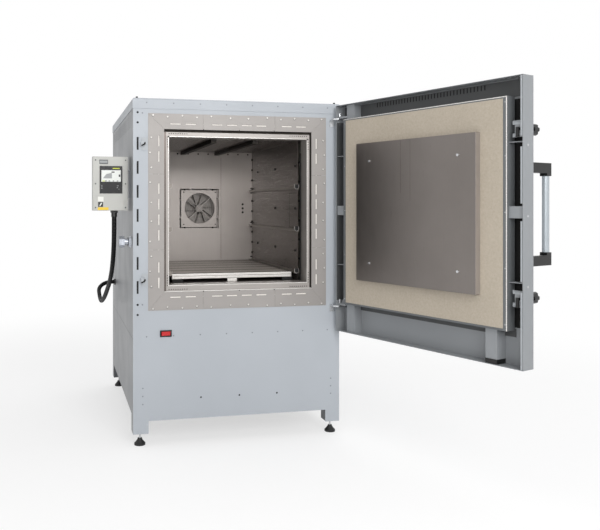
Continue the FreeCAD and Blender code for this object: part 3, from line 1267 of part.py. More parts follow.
def check_and_write():
    """Stop on any failed object or shape, then write each sub-part's own file."""
    doc.recompute()
    for item in doc.Objects:
        if {"Invalid", "Error"} & set(item.State):
            raise RuntimeError(f"{item.Name} ({item.Label}) failed: {item.State}")
    for item in PIECES:
        if item.Shape.isNull() or not item.Shape.isValid():
            raise RuntimeError(f"{item.Label} has no valid shape")
    os.makedirs("parts", exist_ok=True)
    for item in PIECES:
        item.Shape.exportStep(f"parts/{item.Label}.step")
    print(f"{len(PIECES)} sub-parts written")


make_base_frame()
make_feet()
make_front_panel()
piece("left_panel", side_panel(-1))
piece("right_panel", side_panel(1))
make_rear_panel()
make_roof_cover()
make_fasteners()
make_collar()
make_collar_rivets()
make_mouth_frame()
make_insulation()
make_mouth_insulation()
make_chamber()
make_rails()
make_ceiling_bars()
make_tray()
make_heaters()
make_fan()
make_motor()
make_rear_connections()
make_side_port()
make_switch()
make_controller()
make_hose_glands()
make_hose()
make_switchgear()
make_hinge_brackets()
make_door_shell()
make_door_liner()
make_door_ties()
make_door_support()
make_hinge_arms()
make_handle()
make_latch("latch_knob_upper", "latch_top")
make_latch("latch_knob_lower", "latch_top-latch_pitch")
make_catches()
check_and_write()
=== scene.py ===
import math

import bmesh
import bpy
from mathutils import Matrix, Vector


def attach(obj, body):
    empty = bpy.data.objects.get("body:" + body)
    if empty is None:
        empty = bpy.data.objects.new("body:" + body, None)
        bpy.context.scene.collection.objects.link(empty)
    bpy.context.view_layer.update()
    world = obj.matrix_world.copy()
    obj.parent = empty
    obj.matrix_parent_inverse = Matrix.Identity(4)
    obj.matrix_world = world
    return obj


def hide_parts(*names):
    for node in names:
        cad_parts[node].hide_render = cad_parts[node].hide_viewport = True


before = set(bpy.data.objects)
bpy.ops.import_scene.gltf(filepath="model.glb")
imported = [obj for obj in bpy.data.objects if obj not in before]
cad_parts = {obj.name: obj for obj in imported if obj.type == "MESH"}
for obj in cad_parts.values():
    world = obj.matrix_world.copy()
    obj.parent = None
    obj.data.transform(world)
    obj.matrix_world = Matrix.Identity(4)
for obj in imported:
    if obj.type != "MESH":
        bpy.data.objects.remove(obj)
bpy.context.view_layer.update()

MM = 0.001
HINGE = (565, -709)
OPEN = math.radians(109.8)
LATCH_LEVELS = (1592, 875)
HALF_WIDTH = 575

# camera and hose


def add_camera():
    """The photograph's place; the small shift stands for part of its shifted lens."""
    data = bpy.data.cameras.new("camera")
    data.sensor_width = 36
    data.lens = 43.01
    data.shift_x, data.shift_y = 0.145, -0.1011
    camera = bpy.data.objects.new("camera", data)
    camera.location = (-0.9713, -4.4334, 1.2736)
    camera.rotation_euler = (math.radians(90), 0, -0.2161)
    bpy.context.collection.objects.link(camera)
    bpy.context.scene.camera = camera


add_camera()

HOSE_RADIUS = 0.013
HOSE_ROUTE = [
    (-660, -503, 1206), (-660, -503, 1096), (-660, -452, 990), (-661, -352, 895),
    (-664, -230, 822), (-669, -100, 763), (-676, 20, 706), (-682, 125, 671),
    (-686, 210, 653), (-689, 285, 664), (-691, 340, 687), (-691, 379, 708),
    (-682, 406, 723), (-664, 428, 736), (-641, 444, 745), (-613, 452, 750), (-585, 452, 750),
]


def add_hose():
    curve = bpy.data.curves.new("hose", "CURVE")
    curve.dimensions = "3D"
    curve.bevel_depth = HOSE_RADIUS
    curve.bevel_resolution = 6
    curve.use_fill_caps = True
    spline = curve.splines.new("NURBS")
    spline.points.add(len(HOSE_ROUTE) - 1)
    for point, place in zip(spline.points, HOSE_ROUTE):
        point.co = (place[0] * MM, place[1] * MM, place[2] * MM, 1)
    spline.order_u = 3
    spline.use_endpoint_u = True
    spline.resolution_u = 12
    hose = bpy.data.objects.new("hose", curve)
    bpy.context.collection.objects.link(hose)
    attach(hose, "cabinet")
    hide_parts("controller_hose")
    return hose


HOSE = add_hose()

# materials


class Material:
    """A principled material with a few helpers for its procedural nodes."""

    def __init__(self, name, rough=0.5, metal=0.0):
        self.data = bpy.data.materials.new(name)
        self.data.use_nodes = True
        self.nodes = self.data.node_tree.nodes
        self.links = self.data.node_tree.links
        self.shader = self.nodes["Principled BSDF"]
        self.shader.inputs["Roughness"].default_value = rough
        self.shader.inputs["Metallic"].default_value = metal
        self.place = self.nodes.new("ShaderNodeTexCoord").outputs["Object"]

    def noise(self, scale, stretch=(1, 1, 1), detail=4, rough=0.55):
        mapping = self.nodes.new("ShaderNodeMapping")
        mapping.inputs["Scale"].default_value = stretch
        self.links.new(self.place, mapping.inputs["Vector"])
        texture = self.nodes.new("ShaderNodeTexNoise")
        texture.inputs["Scale"].default_value = scale
        texture.inputs["Detail"].default_value = detail
        texture.inputs["Roughness"].default_value = rough
        self.links.new(mapping.outputs["Vector"], texture.inputs["Vector"])
        return texture.outputs["Fac"]

    def ramp(self, factor, stops):
        """Colours at places from 0 to 1; each colour is sRGB out of 255."""
        node = self.nodes.new("ShaderNodeValToRGB")
        elements = node.color_ramp.elements
        while len(elements) < len(stops):
            elements.new(0.5)
        for element, (place, colour) in zip(elements, stops):
            element.position = place
            element.color = linear(colour)
        self.links.new(factor, node.inputs["Fac"])
        return node.outputs["Color"]

    def spread(self, factor, low, high):
        node = self.nodes.new("ShaderNodeMapRange")
        node.inputs["From Min"].default_value = 0.3
        node.inputs["From Max"].default_value = 0.7
        node.inputs["To Min"].default_value = low
        node.inputs["To Max"].default_value = high
        self.links.new(factor, node.inputs["Value"])
        return node.outputs["Result"]

    def colour(self, output):
        self.links.new(output, self.shader.inputs["Base Color"])

    def rough(self, output):
        self.links.new(output, self.shader.inputs["Roughness"])

    def bump(self, height, distance, strength=1.0):
        node = self.nodes.new("ShaderNodeBump")
        node.inputs["Distance"].default_value = distance
        node.inputs["Strength"].default_value = strength
        self.links.new(height, node.inputs["Height"])
        self.links.new(node.outputs["Normal"], self.shader.inputs["Normal"])


def linear(colour):
    parts = []
    for value in colour:
        value /= 255
        curved = ((value + 0.055) / 1.055) ** 2.4
        parts.append(value / 12.92 if value <= 0.04045 else curved)
    return (*parts, 1)


def shade(colour, amount):
    return tuple(max(0, min(255, value + amount)) for value in colour)


def clouds(colour, vary):
    """The two stops of a ramp that wavers round one colour."""
    return [(0.3, shade(colour, -vary)), (0.7, shade(colour, vary))]


def paint(name, colour, rough=0.42, vary=3):
    """Powder coat: an even colour with slight clouds, and a fine orange peel."""
    material = Material(name, rough)
    cloud = material.noise(1.6, detail=3)
    material.colour(material.ramp(cloud, clouds(colour, vary)))
    material.rough(material.spread(material.noise(5, detail=3), rough - 0.05, rough + 0.06))
    material.bump(material.noise(420, detail=2), 0.0004, 0.25)
    return material.data


def brushed(name, colour, rough=0.32, along="X", vary=7, metal=1.0):
    """Brushed sheet: fine streaks along one axis, and broad uneven clouds."""
    stretch = {"X": (1, 60, 60), "Y": (60, 1, 60), "Z": (60, 60, 1)}[along]
    material = Material(name, rough, metal)
    streak = material.noise(7, stretch, 5, 0.7)
    cloud = material.noise(2.2, detail=5)
    mix = material.nodes.new("ShaderNodeMath")
    mix.operation = "ADD"
    mix.use_clamp = True
    weaker = material.nodes.new("ShaderNodeMath")
    weaker.operation = "MULTIPLY_ADD"
    weaker.inputs[1].default_value = 0.4
    weaker.inputs[2].default_value = -0.2
    material.links.new(streak, weaker.inputs[0])
    material.links.new(weaker.outputs[0], mix.inputs[0])
    material.links.new(cloud, mix.inputs[1])
    material.colour(material.ramp(mix.outputs[0], clouds(colour, vary)))
    material.rough(material.spread(streak, rough - 0.06, rough + 0.08))
    material.bump(streak, 0.0003, 0.2)
    return material.data


def plastic(name, colour, rough=0.45, grain=260, depth=0.0003):
    material = Material(name, rough)
    cloud = material.noise(6, detail=3)
    material.colour(material.ramp(cloud, clouds(colour, 3)))
    material.bump(material.noise(grain, detail=2), depth, 0.4)
    return material.data


def fibre(name, colour, grain=95):
    """Vacuum-formed fibre board: a dense, slightly fluffy grain with pale flecks."""
    material = Material(name, 0.92)
    fine = material.noise(grain, detail=8, rough=0.75)
    broad = material.noise(3, detail=4)
    mix = material.nodes.new("ShaderNodeMix")
    mix.data_type = "RGBA"
    mix.inputs["Factor"].default_value = 0.5
    grain_colour = material.ramp(fine, [(0.3, shade(colour, -22)), (0.55, colour),
                                        (0.75, shade(colour, 16))])
    cloud_colour = material.ramp(broad, clouds(colour, 7))
    material.links.new(grain_colour, mix.inputs["A"])
    material.links.new(cloud_colour, mix.inputs["B"])
    material.colour(mix.outputs["Result"])
    material.bump(fine, 0.0018, 0.55)
    return material.data


def ribbed_hose(name, colour):
    """Corrugated conduit: rings across the hose, drawn as bump along its length."""
    material = Material(name, 0.5)
    material.shader.inputs["Specular IOR Level"].default_value = 0.2
    wave = material.nodes.new("ShaderNodeTexWave")
    wave.bands_direction = "X"
    wave.inputs["Scale"].default_value = 52
    uv = material.nodes.new("ShaderNodeUVMap")
    material.links.new(uv.outputs["UV"], wave.inputs["Vector"])
    # The colour follows the rings too: painted shade in their troughs and a painted highlight on
    # their crests.
    material.colour(material.ramp(wave.outputs["Fac"], [(0.2, shade(colour, -6)),
                                                        (0.8, shade(colour, 8))]))
    material.bump(wave.outputs["Fac"], 0.002, 0.8)
    return material.data


MATERIALS = {
    "panel": paint("panel_paint", (167, 172, 178)),
    # Painted shade: the left panel's paint is darker than the right and rear panels' for the shade
    # that side falls in.
    "side": paint("left_side_shaded_paint", (132, 134, 137)),
    "fixing": paint("fixing_paint", (128, 132, 138), 0.35),
    "shell": paint("shell_paint", (160, 164, 169)),
    # Painted shade: the door's paint takes the darker tone its inside shows in shade; its outer
    # face gets a sheet in the shell paint.
    "door": paint("door_paint", (140, 143, 146), 0.4),
    "rim": paint("rim_paint", (165, 169, 173), 0.4),
    # Painted shade: the door's inner liner is darker than it really is, for the shade inside the
    # door.
    "shaded_liner": paint("liner_shaded_paint", (100, 103, 105), 0.4),
    "frame": paint("frame_paint", (92, 95, 99)),
    "collar": brushed("collar_steel", (150, 146, 143), 0.5, "X", 5, 0.3),
    "lip": brushed("lip_steel", (156, 151, 147), 0.4, "X", metal=0.4),
    # Painted highlight: a bright steel tone for the light caught by sheet edges and folded lips.
    "highlight": brushed("painted_highlight_steel", (226, 223, 219), 0.25, "X", 4, 0.4),
    # Painted shade: the chamber's side walls and ceiling are darker than their steel is, for the
    # shade inside the chamber.
    "chamber": brushed("chamber_steel", (166, 159, 154), 0.34, "Z", metal=0.55),
    "shaded_wall": brushed("shaded_wall_steel", (98, 91, 87), 0.3, "Y", metal=0.7),
    "tunnel": brushed("tunnel_steel", (98, 89, 84), 0.34, "Y", metal=0.6),
    "floor": brushed("tray_steel", (134, 128, 122), 0.36, "X", metal=0.6),
    "shield": brushed("shield_steel", (134, 128, 124), 0.33, "Z", 5),
    "dark": brushed("dark_steel", (52, 49, 46), 0.5, "Y", 8, 0.8),
    "wheel": brushed("wheel_steel", (150, 144, 139), 0.4, "X", 5, 0.3),
    "zinc": brushed("zinc_plate", (200, 202, 204), 0.26, "Z", 6, 0.7),
    "rivet": brushed("rivet_steel", (196, 192, 188), 0.38, "Z", 3, 0.4),
    "chrome": brushed("chrome_plate", (182, 186, 194), 0.28, "Z", 3, 0.6),
    "cast": paint("cast_paint", (96, 104, 112), 0.5, 6),
    "grip": brushed("grip_tube", (164, 171, 176), 0.3, "Z", 4, 0.2),
    "wool": fibre("wool", (222, 217, 204), 40),
    # Painted shade: the pale wool darkened for the shade at the bottom of the mouth's groove, also
    # used for the shade on the shelf's folds.
    "groove_shade": fibre("groove_shade_wool", (84, 78, 73), 40),
    "pale": fibre("slot_wool", (226, 221, 215), 60),
    "board": fibre("board", (178, 168, 153)),
    "black": plastic("black_plastic", (9, 9, 9), 0.32),
    "shadow": paint("shaded_paint", (74, 75, 76), 0.6),
    "rubber": plastic("rubber", (24, 24, 25), 0.6, 180),
    "grey": plastic("grey_plastic", (180, 180, 175), 0.42),
    "screen": plastic("screen_plastic", (22, 23, 25), 0.18, 200, 0.00004),
    "red": plastic("red_plastic", (190, 32, 36), 0.22, 200, 0.00004),
    "yellow": plastic("yellow_plastic", (222, 186, 40), 0.4),
    "white": plastic("white_plastic", (222, 222, 216), 0.35),
    # Near black: painted shade in gaps, seams, holes, slots and behind openings, and the colour of
    # the dark screw and bolt heads.
    "shade_and_black_heads": plastic("shade_and_black_heads_plastic", (10, 9, 9), 0.8),
    "lcd": plastic("lcd_glass", (222, 225, 221), 0.2, 200, 0.00002),
    "mark": plastic("pale_mark", (150, 153, 153), 0.5),
    "lime": plastic("lime_mark", (196, 205, 60), 0.5),
    "slate": plastic("slate_plastic", (74, 78, 80), 0.4),
    "hose": ribbed_hose("hose_plastic", (9, 9, 10)),
}

FINISH = {
    "base_frame": "frame", "foot_pads": "rubber", "foot_studs": "zinc",
    # the left panel takes the darker side paint, which holds painted shade
    "front_panel": "panel", "left_panel": "side", "right_panel": "shell", "rear_panel": "shell",
    "roof_cover": "panel", "panel_fasteners": "fixing", "collar_plates": "collar",
    "collar_rivets": "rivet", "mouth_frame": "lip", "insulation_sides": "wool",
    "insulation_top": "wool", "insulation_bottom": "wool", "insulation_rear": "wool",
    "insulation_mouth": "groove_shade", "chamber_floor": "tunnel", "chamber_ceiling": "shaded_wall",
    "side_baffles": "shaded_wall", "rear_baffle": "chamber", "shelf_rails": "floor",
    "ceiling_bars": "dark", "tray_shelf": "floor", "shelf_runners": "dark",
    "heating_elements": "dark", "fan_guard": "chamber", "fan_wheel": "wheel",
    "motor_flange": "cast", "fan_motor": "cast", "exhaust_socket": "collar",
    "mains_gland": "black", "thermocouple": "zinc", "side_port": "chrome",
    "switch_bezel": "black", "rocker_switch": "red", "controller_box": "grey",
    "controller_front": "grey", "controller_display": "screen", "controller_bracket": "panel",
    "hose_glands": "black", "controller_hose": "hose", "switchgear": "grey",
    # the door's pan, ties, support and hinge arms take the door paint, which holds painted shade
    "hinge_brackets": "zinc", "latch_catches": "rim", "door_shell": "door",
    "door_liner": "shaded_liner", "door_board": "board", "door_insulation": "wool",
    "door_shield": "shield", "shield_bolts": "zinc", "door_ties": "door",
    "door_support": "door", "support_pad": "black", "hinge_arms": "door",
    "handle_brackets": "black", "handle_grip": "grip", "latch_knob_upper": "black",
    "latch_knob_lower": "black",
}


def dress_nodes():
    for node, finish in FINISH.items():
        item = bpy.data.objects[node]
        if not item.material_slots:
            item.data.materials.append(MATERIALS[finish])
        for place in item.material_slots:
            place.material = MATERIALS[finish]


dress_nodes()
HOSE.data.materials.append(MATERIALS["hose"])

# pieces that dress the solids; the door's are drawn closed, then turned with it

DOOR_TURN = (Matrix.Translation(Vector((*HINGE, 0)) * MM) @ Matrix.Rotation(OPEN, 4, "Z")
             @ Matrix.Translation(Vector((-HINGE[0], -HINGE[1], 0)) * MM))


class Piece:
    """One object made of bevelled boxes, discs and prisms, in millimetres."""

    def __init__(self, name, body, finish, slot, bevel=0.0):
        self.name, self.body, self.finish, self.slot = name, body, finish, slot
        self.bevel = bevel
        self.shape = bmesh.new()

    def box(self, x, y, z):
        centre = Vector((sum(x) / 2, sum(y) / 2, sum(z) / 2)) * MM
        size = (abs(x[1] - x[0]), abs(y[1] - y[0]), abs(z[1] - z[0]))
        place = Matrix.Translation(centre) @ Matrix.Diagonal((*[part * MM for part in size], 1))
        bmesh.ops.create_cube(self.shape, size=1, matrix=place)
        return self

    def disc(self, axis, start, radius, length, sides=24, top=None):
        """A short cylinder, or a cone if top is given, from start along an axis."""
        turn = {"x": Matrix.Rotation(math.radians(90), 4, "Y"),
                "y": Matrix.Rotation(math.radians(-90), 4, "X"),
                "z": Matrix.Identity(4)}[axis]
        place = Matrix.Translation(Vector(start) * MM) @ turn @ Matrix.Translation(
            (0, 0, length * MM / 2))
        bmesh.ops.create_cone(self.shape, cap_ends=True, segments=sides, radius1=radius * MM,
                              radius2=(radius if top is None else top) * MM,
                              depth=abs(length) * MM, matrix=place)
        return self

    def dome(self, start, radius, rise, sides=14, rings=4):
        """A round head that swells towards -Y from a flat seat."""
        x, y, z = start
        rows = []
        for ring in range(rings):
            lean = math.pi / 2 * ring / rings
            reach, out = radius * math.cos(lean), rise * math.sin(lean)
            rows.append([self.shape.verts.new(Vector((
                x + reach * math.cos(2 * math.pi * step / sides), y - out,
                z + reach * math.sin(2 * math.pi * step / sides))) * MM)
                for step in range(sides)])
        top = self.shape.verts.new(Vector((x, y - rise, z)) * MM)
        self.shape.faces.new(rows[0])
        for near, far in zip(rows, rows[1:]):
            for step in range(sides):
                after = (step + 1) % sides
                self.shape.faces.new((near[step], near[after], far[after], far[step]))
        for step in range(sides):
            self.shape.faces.new((rows[-1][step], rows[-1][(step + 1) % sides], top))
        return self

    def prism(self, outline, y):
        """A flat outline in X and Z, thickened between two Y values."""
        rows = [[self.shape.verts.new((px * MM, depth * MM, pz * MM)) for px, pz in outline]
                for depth in y]
        self.shape.faces.new(rows[0])
        self.shape.faces.new(list(reversed(rows[1])))
        for index in range(len(outline)):
            after = (index + 1) % len(outline)
            self.shape.faces.new((rows[0][index], rows[1][index], rows[1][after],
                                  rows[0][after]))
        return self

    def done(self, smooth=False):
        for face in self.shape.faces:
            face.smooth = smooth
        bmesh.ops.recalc_face_normals(self.shape, faces=self.shape.faces)
        if self.body == "door":
            bmesh.ops.transform(self.shape, matrix=DOOR_TURN, verts=self.shape.verts)
        mesh = bpy.data.meshes.new(self.name)
        self.shape.to_mesh(mesh)
        self.shape.free()
        item = bpy.data.objects.new(self.name, mesh)
        bpy.context.collection.objects.link(item)
        mesh.materials.append(MATERIALS[self.finish])
        if self.bevel:
            bevel = item.modifiers.new("edges", "BEVEL")
            bevel.width = self.bevel * MM
            bevel.segments = 3
            bevel.limit_method = "ANGLE"
        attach(item, self.body)
        return item


def u_ring(middle, outer, inner, rise, steps=12):
    """The outline of an upright U: a half ring open at the top, or a filled one if inner is 0."""
    x, z = middle
    arc = [math.pi + math.pi * step / steps for step in range(steps + 1)]
    outside = [(x + outer * math.cos(turn), z + outer * math.sin(turn)) for turn in arc]
    outside = [(x - outer, z + rise), *outside, (x + outer, z + rise)]
    if not inner:
        return outside
    inside = [(x + inner * math.cos(turn), z + inner * math.sin(turn)) for turn in reversed(arc)]
    return [*outside, (x + inner, z + rise), *inside, (x - inner, z + rise)]


def bars(name, body, finish, slot, boxes, bevel=0.0):
    """One piece made of boxes alone, each given by its spans in X, Y and Z."""
    piece = Piece(name, body, finish, slot, bevel)
    for spans in boxes:
        piece.box(*spans)
    return piece.done()


def dress_controller():
    """The display's screen with a plain temperature ramp, and the covers and screws round it."""
    lid, glass = -555, -558
    Piece("screen_face", "cabinet", "lcd", "display", 0.3).box(
        (-732, -629), (glass - 0.6, glass), (1395, 1457)).done()
    ramp = [(-724, 1413), (-706, 1436), (-688, 1440), (-676, 1444), (-676, 1413)]
    Piece("screen_ramp", "cabinet", "mark", "display").prism(
        ramp, (glass - 0.9, glass - 0.5)).done()
    raised, flat = (glass - 1.0, glass - 0.5), (glass - 0.3, glass)
    dark = [((-678, -662), raised, (1443, 1450)), ((-640, -631), raised, (1421, 1434))]
    dark += [((left, left + 8), raised, (1397, 1401)) for left in (-712, -694, -672, -650)]
    bars("screen_marks", "cabinet", "black", "display", dark)
    bars("screen_accents", "cabinet", "lime", "display",
         [((-672, -635), flat, (1464, 1469)), ((-728, -713), raised, (1397, 1401))])
    icons = [((-731, -728), flat, (low, low + 5)) for low in (1356, 1364, 1372)]
    icons += [((-650, -640), flat, (1372, 1374)), ((-650, -646), flat, (1361, 1366)),
              ((-640, -637), flat, (1354, 1356))]
    bars("panel_icons", "cabinet", "mark", "display", icons)
    Piece("name_plate", "cabinet", "slate", "display", 1).box(
        (-743, -697), (lid - 1.5, lid), (1490, 1513)).done()
    Piece("name_field", "cabinet", "mark", "display", 0.3).box(
        (-740, -700), (lid - 1.8, lid - 1.2), (1496, 1508)).done()
    Piece("port_cover", "cabinet", "white", "grey_plastic", 1.2).box(
        (-751, -720), (lid - 2.2, lid), (1288, 1315)).done()
    Piece("port_plug", "cabinet", "black", "black_plastic", 1).box(
        (-749, -723), (lid - 1.6, lid), (1260, 1287)).done()
    Piece("port_mark", "cabinet", "lcd", "grey_plastic").prism(
        [(-743, 1264), (-739, 1263), (-728, 1279), (-731, 1283), (-736, 1280)],
        (lid - 2.2, lid - 1.4)).done()
    Piece("yellow_strip", "cabinet", "yellow", "grey_plastic", 0.3).box(
        (-751, -694), (lid - 0.8, lid), (1243, 1258)).done()
    screws = Piece("controller_screws", "cabinet", "slate", "zinc")
    rims = Piece("controller_screw_rims", "cabinet", "grey", "grey_plastic")
    for x in (-763, -603):
        for z in (1511, 1384, 1256):
            rims.disc("y", (x, lid - 0.9, z), 6.2, 0.9)
            screws.disc("y", (x, lid - 1.2, z), 4, 1.2)
    screws.done()
    rims.done()


def dress_chamber():
    """Rivets, screws and shelf hooks of the chamber's sheet lining, with its seam lines, the
    outline round the fan cover and a slit drawn dark as painted shade.
    """
    # Dark lines in place of the gaps between the sheets: painted shade.
    seam_shade = Piece("wall_seam_shade", "cabinet", "shade_and_black_heads", "chamber_steel")
    screws = Piece("wall_screws", "cabinet", "shade_and_black_heads", "dark_steel")
    wall_spots = [(-128, 1494), (-128, 1251), (-128, 1009), (266, 1493), (266, 1012),
                  (-514, 1494), (-514, 1251), (-514, 1009)]
    wall_spots += [(412, 1585 - 71.8 * step) for step in range(10)]
    for side in (-1, 1):
        face = (side * 374.5, side * 375.2)
        seam_shade.box(face, (-404, -402), (1140, 1340))
        seam_shade.box(face, (-549, -404), (1338, 1340))
        seam_shade.box(face, (-549, -404), (1140, 1142))
        for y, z in wall_spots:
            screws.disc("x", (side * 371.6 - 2.6, y, z), 7, 5.2)
    for x in (-300, -154, -119, -81, -10, 60, 201, 273, 344):
        screws.disc("y", (x, 421.8, 1621), 5.5, 1.4)
    for x, z in ((-111, 1357), (111, 1357), (-111, 1135), (111, 1135)):
        screws.disc("y", (x, 421.6, z), 4.5, 1.6)
    for z in (1218, 1246, 1274):
        screws.disc("y", (307, 421.4, z), 7.6, 1.2)
    seam_shade.done()
    screws.done()
    dress_rails()
    # Dark outline round the fan cover: painted shade in the gap round it.
    guard_shade = []
    left, right, low, high = -137, 123, 1113, 1373
    deep = (419.5, 421.5)
    for z in (low, high):
        guard_shade.append(((left, right), deep, (z - 1.5, z + 1.5)))
        guard_shade += [((x - 5, x + 5), deep, (z - 5, z + 5)) for x in (left + 32, right - 32)]
    for x in (left, right):
        guard_shade.append(((x - 1.5, x + 1.5), deep, (low, high)))
        guard_shade += [((x - 4, x + 4), deep, (z - 5, z + 5)) for z in (low + 60, high - 60)]
    bars("guard_outline_shade", "cabinet", "shade_and_black_heads", "dark_steel", guard_shade)
    # A dark strip in the side: painted shade in a slit.
    bars("wall_slit_shade", "cabinet", "shade_and_black_heads", "dark_steel",
         [((373.4, 374.6), (-606, -588), (830, 1560))])
    # The rear seam is a line in the shaded steel tone: painted shade.
    bars("rear_seams", "cabinet", "shaded_wall", "chamber_steel",
         [((150, 152), (421.5, 422.5), (895, 1600))])
    dress_tray()


def dress_rails():
    """The round hooks and studs that carry the three pairs of shelf rails."""
    hooks = Piece("rail_hooks", "cabinet", "rivet", "chamber_steel", 0.5)
    # Painted shade: dark fill inside the hooks and dark spots behind the studs.
    inside = Piece("rail_hook_shade", "cabinet", "shade_and_black_heads", "dark_steel")
    studs = Piece("rail_studs", "cabinet", "rivet", "chamber_steel", 1.5)
    outer, inner, rise = 13, 11.4, 15
    for top in (1372, 1134, 896):
        for side in (-1, 1):
            hooks.prism(u_ring((side * 363, top), outer, inner, rise), (-568.4, -566.2))
        inside.prism(u_ring((363, top), inner, 0, rise), (-568.2, -566.4))
        for side in (-1, 1):
            studs.disc("y", (side * 362, 405, top - 2), 7, 18)
            inside.disc("y", (side * 368, 420.6, top + 12), 6, 1.6)
            inside.disc("y", (side * 368, 420.6, top - 18), 5, 1.6)
    for piece in (hooks, inside, studs):
        piece.done()


def dress_tray():
    """Painted shade on the sliding shelf's fold faces, painted highlights on its front strips, and
    what shows between its runners: a bright strip and painted shade.
    """
    wide, pitch, front = (-341, 341), 40.2, -525
    # Dark strips on each fold: painted shade.
    fold_shade = []
    for step in (1, 5, 9, 13, 17, 21):
        start = front + pitch * step
        fold_shade += [(wide, (start - 0.6, start + 0.2), (885.5, 889.3)),
                  (wide, (start - 24, start - 0.5), (885.5, 886.3))]
    bars("tray_groove_shade", "tray", "groove_shade", "chamber_steel", fold_shade)
    # Bright strips on the front lip: painted highlights.
    bars("tray_front_highlights", "tray", "highlight", "stainless",
         [((-344, 344), (-526, -524.5), (877.5, 889.3)),
          ((-344, 344), (-525.8, -524.5), (862, 874.5))], 0.5)
    sheet, tall = (-540.4, -539.4), (843, 860.4)
    bars("runner_bridge", "cabinet", "highlight", "stainless", [((-34, 20), sheet, tall)], 0.5)
    bars("runner_shade", "cabinet", "shade_and_black_heads", "dark_steel",
         [((side * 285, side * 345), sheet, tall) for side in (-1, 1)])


def dress_mouth():
    """Holes of the lip drawn dark as painted shade, painted highlights on its edges, and the
    rivets, with rings of painted shade, and slots of the collar round it.
    """
    # Dark discs and slots: painted shade in the holes.
    dots = Piece("lip_hole_shade", "cabinet", "shade_and_black_heads", "dark_steel")
    for side in (-1, 1):
        holes = []
        for step in range(9):
            holes += [(384 - 12 * step, 1649), (384 - 12 * step, 822)]
        for step in range(5):
            holes += [(393, 1630 - 13 * step), (393, 844 + 13 * step)]
        for x, z in holes:
            dots.disc("y", (side * x, -673.6, z), 2.7, 0.8, 10)
        dots.disc("y", (side * 387, -674.8, 1633), 4, 1.2, 12)
    for x in (-198, 0, 196):
        dots.box((x - 2.5, x + 2.5), (-677.4, -675), (1671, 1676))
        dots.box((x - 2.5, x + 2.5), (-677.4, -675), (805, 810))
    dots.done()
    domes = Piece("collar_domes", "cabinet", "rivet", "stainless")
    # Dark rings round the rivets: painted shade.
    rims = Piece("collar_rivet_shade_rings", "cabinet", "slate", "dark_steel")
    half, middle, top, foot = 496, 1233.5, 1754, 713
    for number, share in enumerate((0.1, 0.315, 0.472, 0.631, 0.792, 0.948)):
        inset = (17, 10)[number % 2]
        for side in (-1, 1):
            along = side * share * half
            spots = [(along, top - inset), (along, foot + inset)]
            if number < 5:
                spots += [(half - inset, middle + along), (inset - half, middle + along)]
            for x, z in spots:
                rims.disc("y", (x, -677.3, z - 1), 6, 0.4, 16)
                domes.dome((x, -677.2, z), 5, 1.5)
    domes.done(smooth=True)
    rims.done()
    behind = (-676.2, -675.2)
    bars("collar_slot_backing", "cabinet", "pale", "wool",
         [((-420, 420), behind, (low, low + 6)) for low in (778, 1697)]
         + [((side * 436, side * 442), behind, (790, 1670)) for side in (-1, 1)])
    # A mid-dark strip in the groove left of the lip: painted shade.
    bars("collar_groove_left", "cabinet", "shaded_wall", "stainless",
         [((-410.5, -401), (-675.2, -674.2), (813, 1657))])
    highlight = (-674.6, -672.5)
    # Bright strips on the lip's edges and in the groove below it: painted highlights.
    bars("lip_edge_highlights", "cabinet", "highlight", "stainless",
         [((-410, 410), (-675.4, -674.4), (809.4, 813)),
          ((-386, 386), highlight, (1632, 1635)), ((-386, 386), highlight, (841, 844))]
         + [((side * 385, side * 388), highlight, (841, 1635)) for side in (-1, 1)], 0.5)


def dress_cabinet():
    """Screws along the sheets' edges, dark bolts on the roof, and painted shade behind openings
    and on the catches.
    """
    rivets = Piece("edge_screws", "cabinet", "fixing", "zinc")
    levels = range(190, 1760, 196)
    for side in (-1, 1):
        for end in (-1, 1):
            for z in levels:
                rivets.disc("x", (side * HALF_WIDTH - 0.8, end * 650, z), 4, 1.6)
    for x in (-550, 550):
        for z in levels:
            rivets.disc("y", (x, 674.2, z), 4, 1.6)
    for z in (1754, 746):
        rivets.disc("y", (-526, -676.2, z), 4.5, 1.4, top=3)
    rivets.done()
    bolts = Piece("roof_bolt_heads", "cabinet", "shade_and_black_heads", "dark_steel", 0.6)
    for x in (-553, 553):
        for y in (-653, 653):
            bolts.disc("z", (x, y, 1834), 7.5, 2.2)
            bolts.disc("z", (x, y, 1836), 6.4, 6.3, 6)
    bolts.done()
    # Painted shade: dark sheets and discs behind the vents and holes.
    opening_shade_piece = Piece("opening_shade", "cabinet", "shade_and_black_heads", "dark_steel")
    opening_shade_piece.box((-557, -545), (-674.2, -673.4), (640, 1770))
    for z in (1757, 1704, 746, 693):
        opening_shade_piece.disc("y", (-551, -675.6, z), 5.8, 0.8, 16)
    for x in (-212, 0, 212):
        opening_shade_piece.box((x - 7, x + 7), (-674.2, -673.4), (235, 249))
    opening_shade_piece.done()
    # Dark hook shapes on the catch plates: the hook's form, drawn dark as painted shade.
    hooks = Piece("catch_hook_shade", "cabinet", "shade_and_black_heads", "dark_steel", 1)
    for level in LATCH_LEVELS:
        hooks.prism([(-537, level - 9), (-531, level - 14), (-514, level - 6), (-510, level + 2),
                     (-514, level + 8), (-519, level + 5), (-520, level - 1)], (-700, -696))
    hooks.done()
    ring = Piece("port_shadow_ring", "cabinet", "shade_and_black_heads", "dark_steel")
    ring.disc("x", (-592, -565, 1072), 24, 3)
    ring.done()
    bars("side_seams", "cabinet", "slate", "panel_paint",
         [((side * (HALF_WIDTH - 0.4), side * (HALF_WIDTH + 0.4)), (-672, 672), (564, 567))
          for side in (-1, 1)])


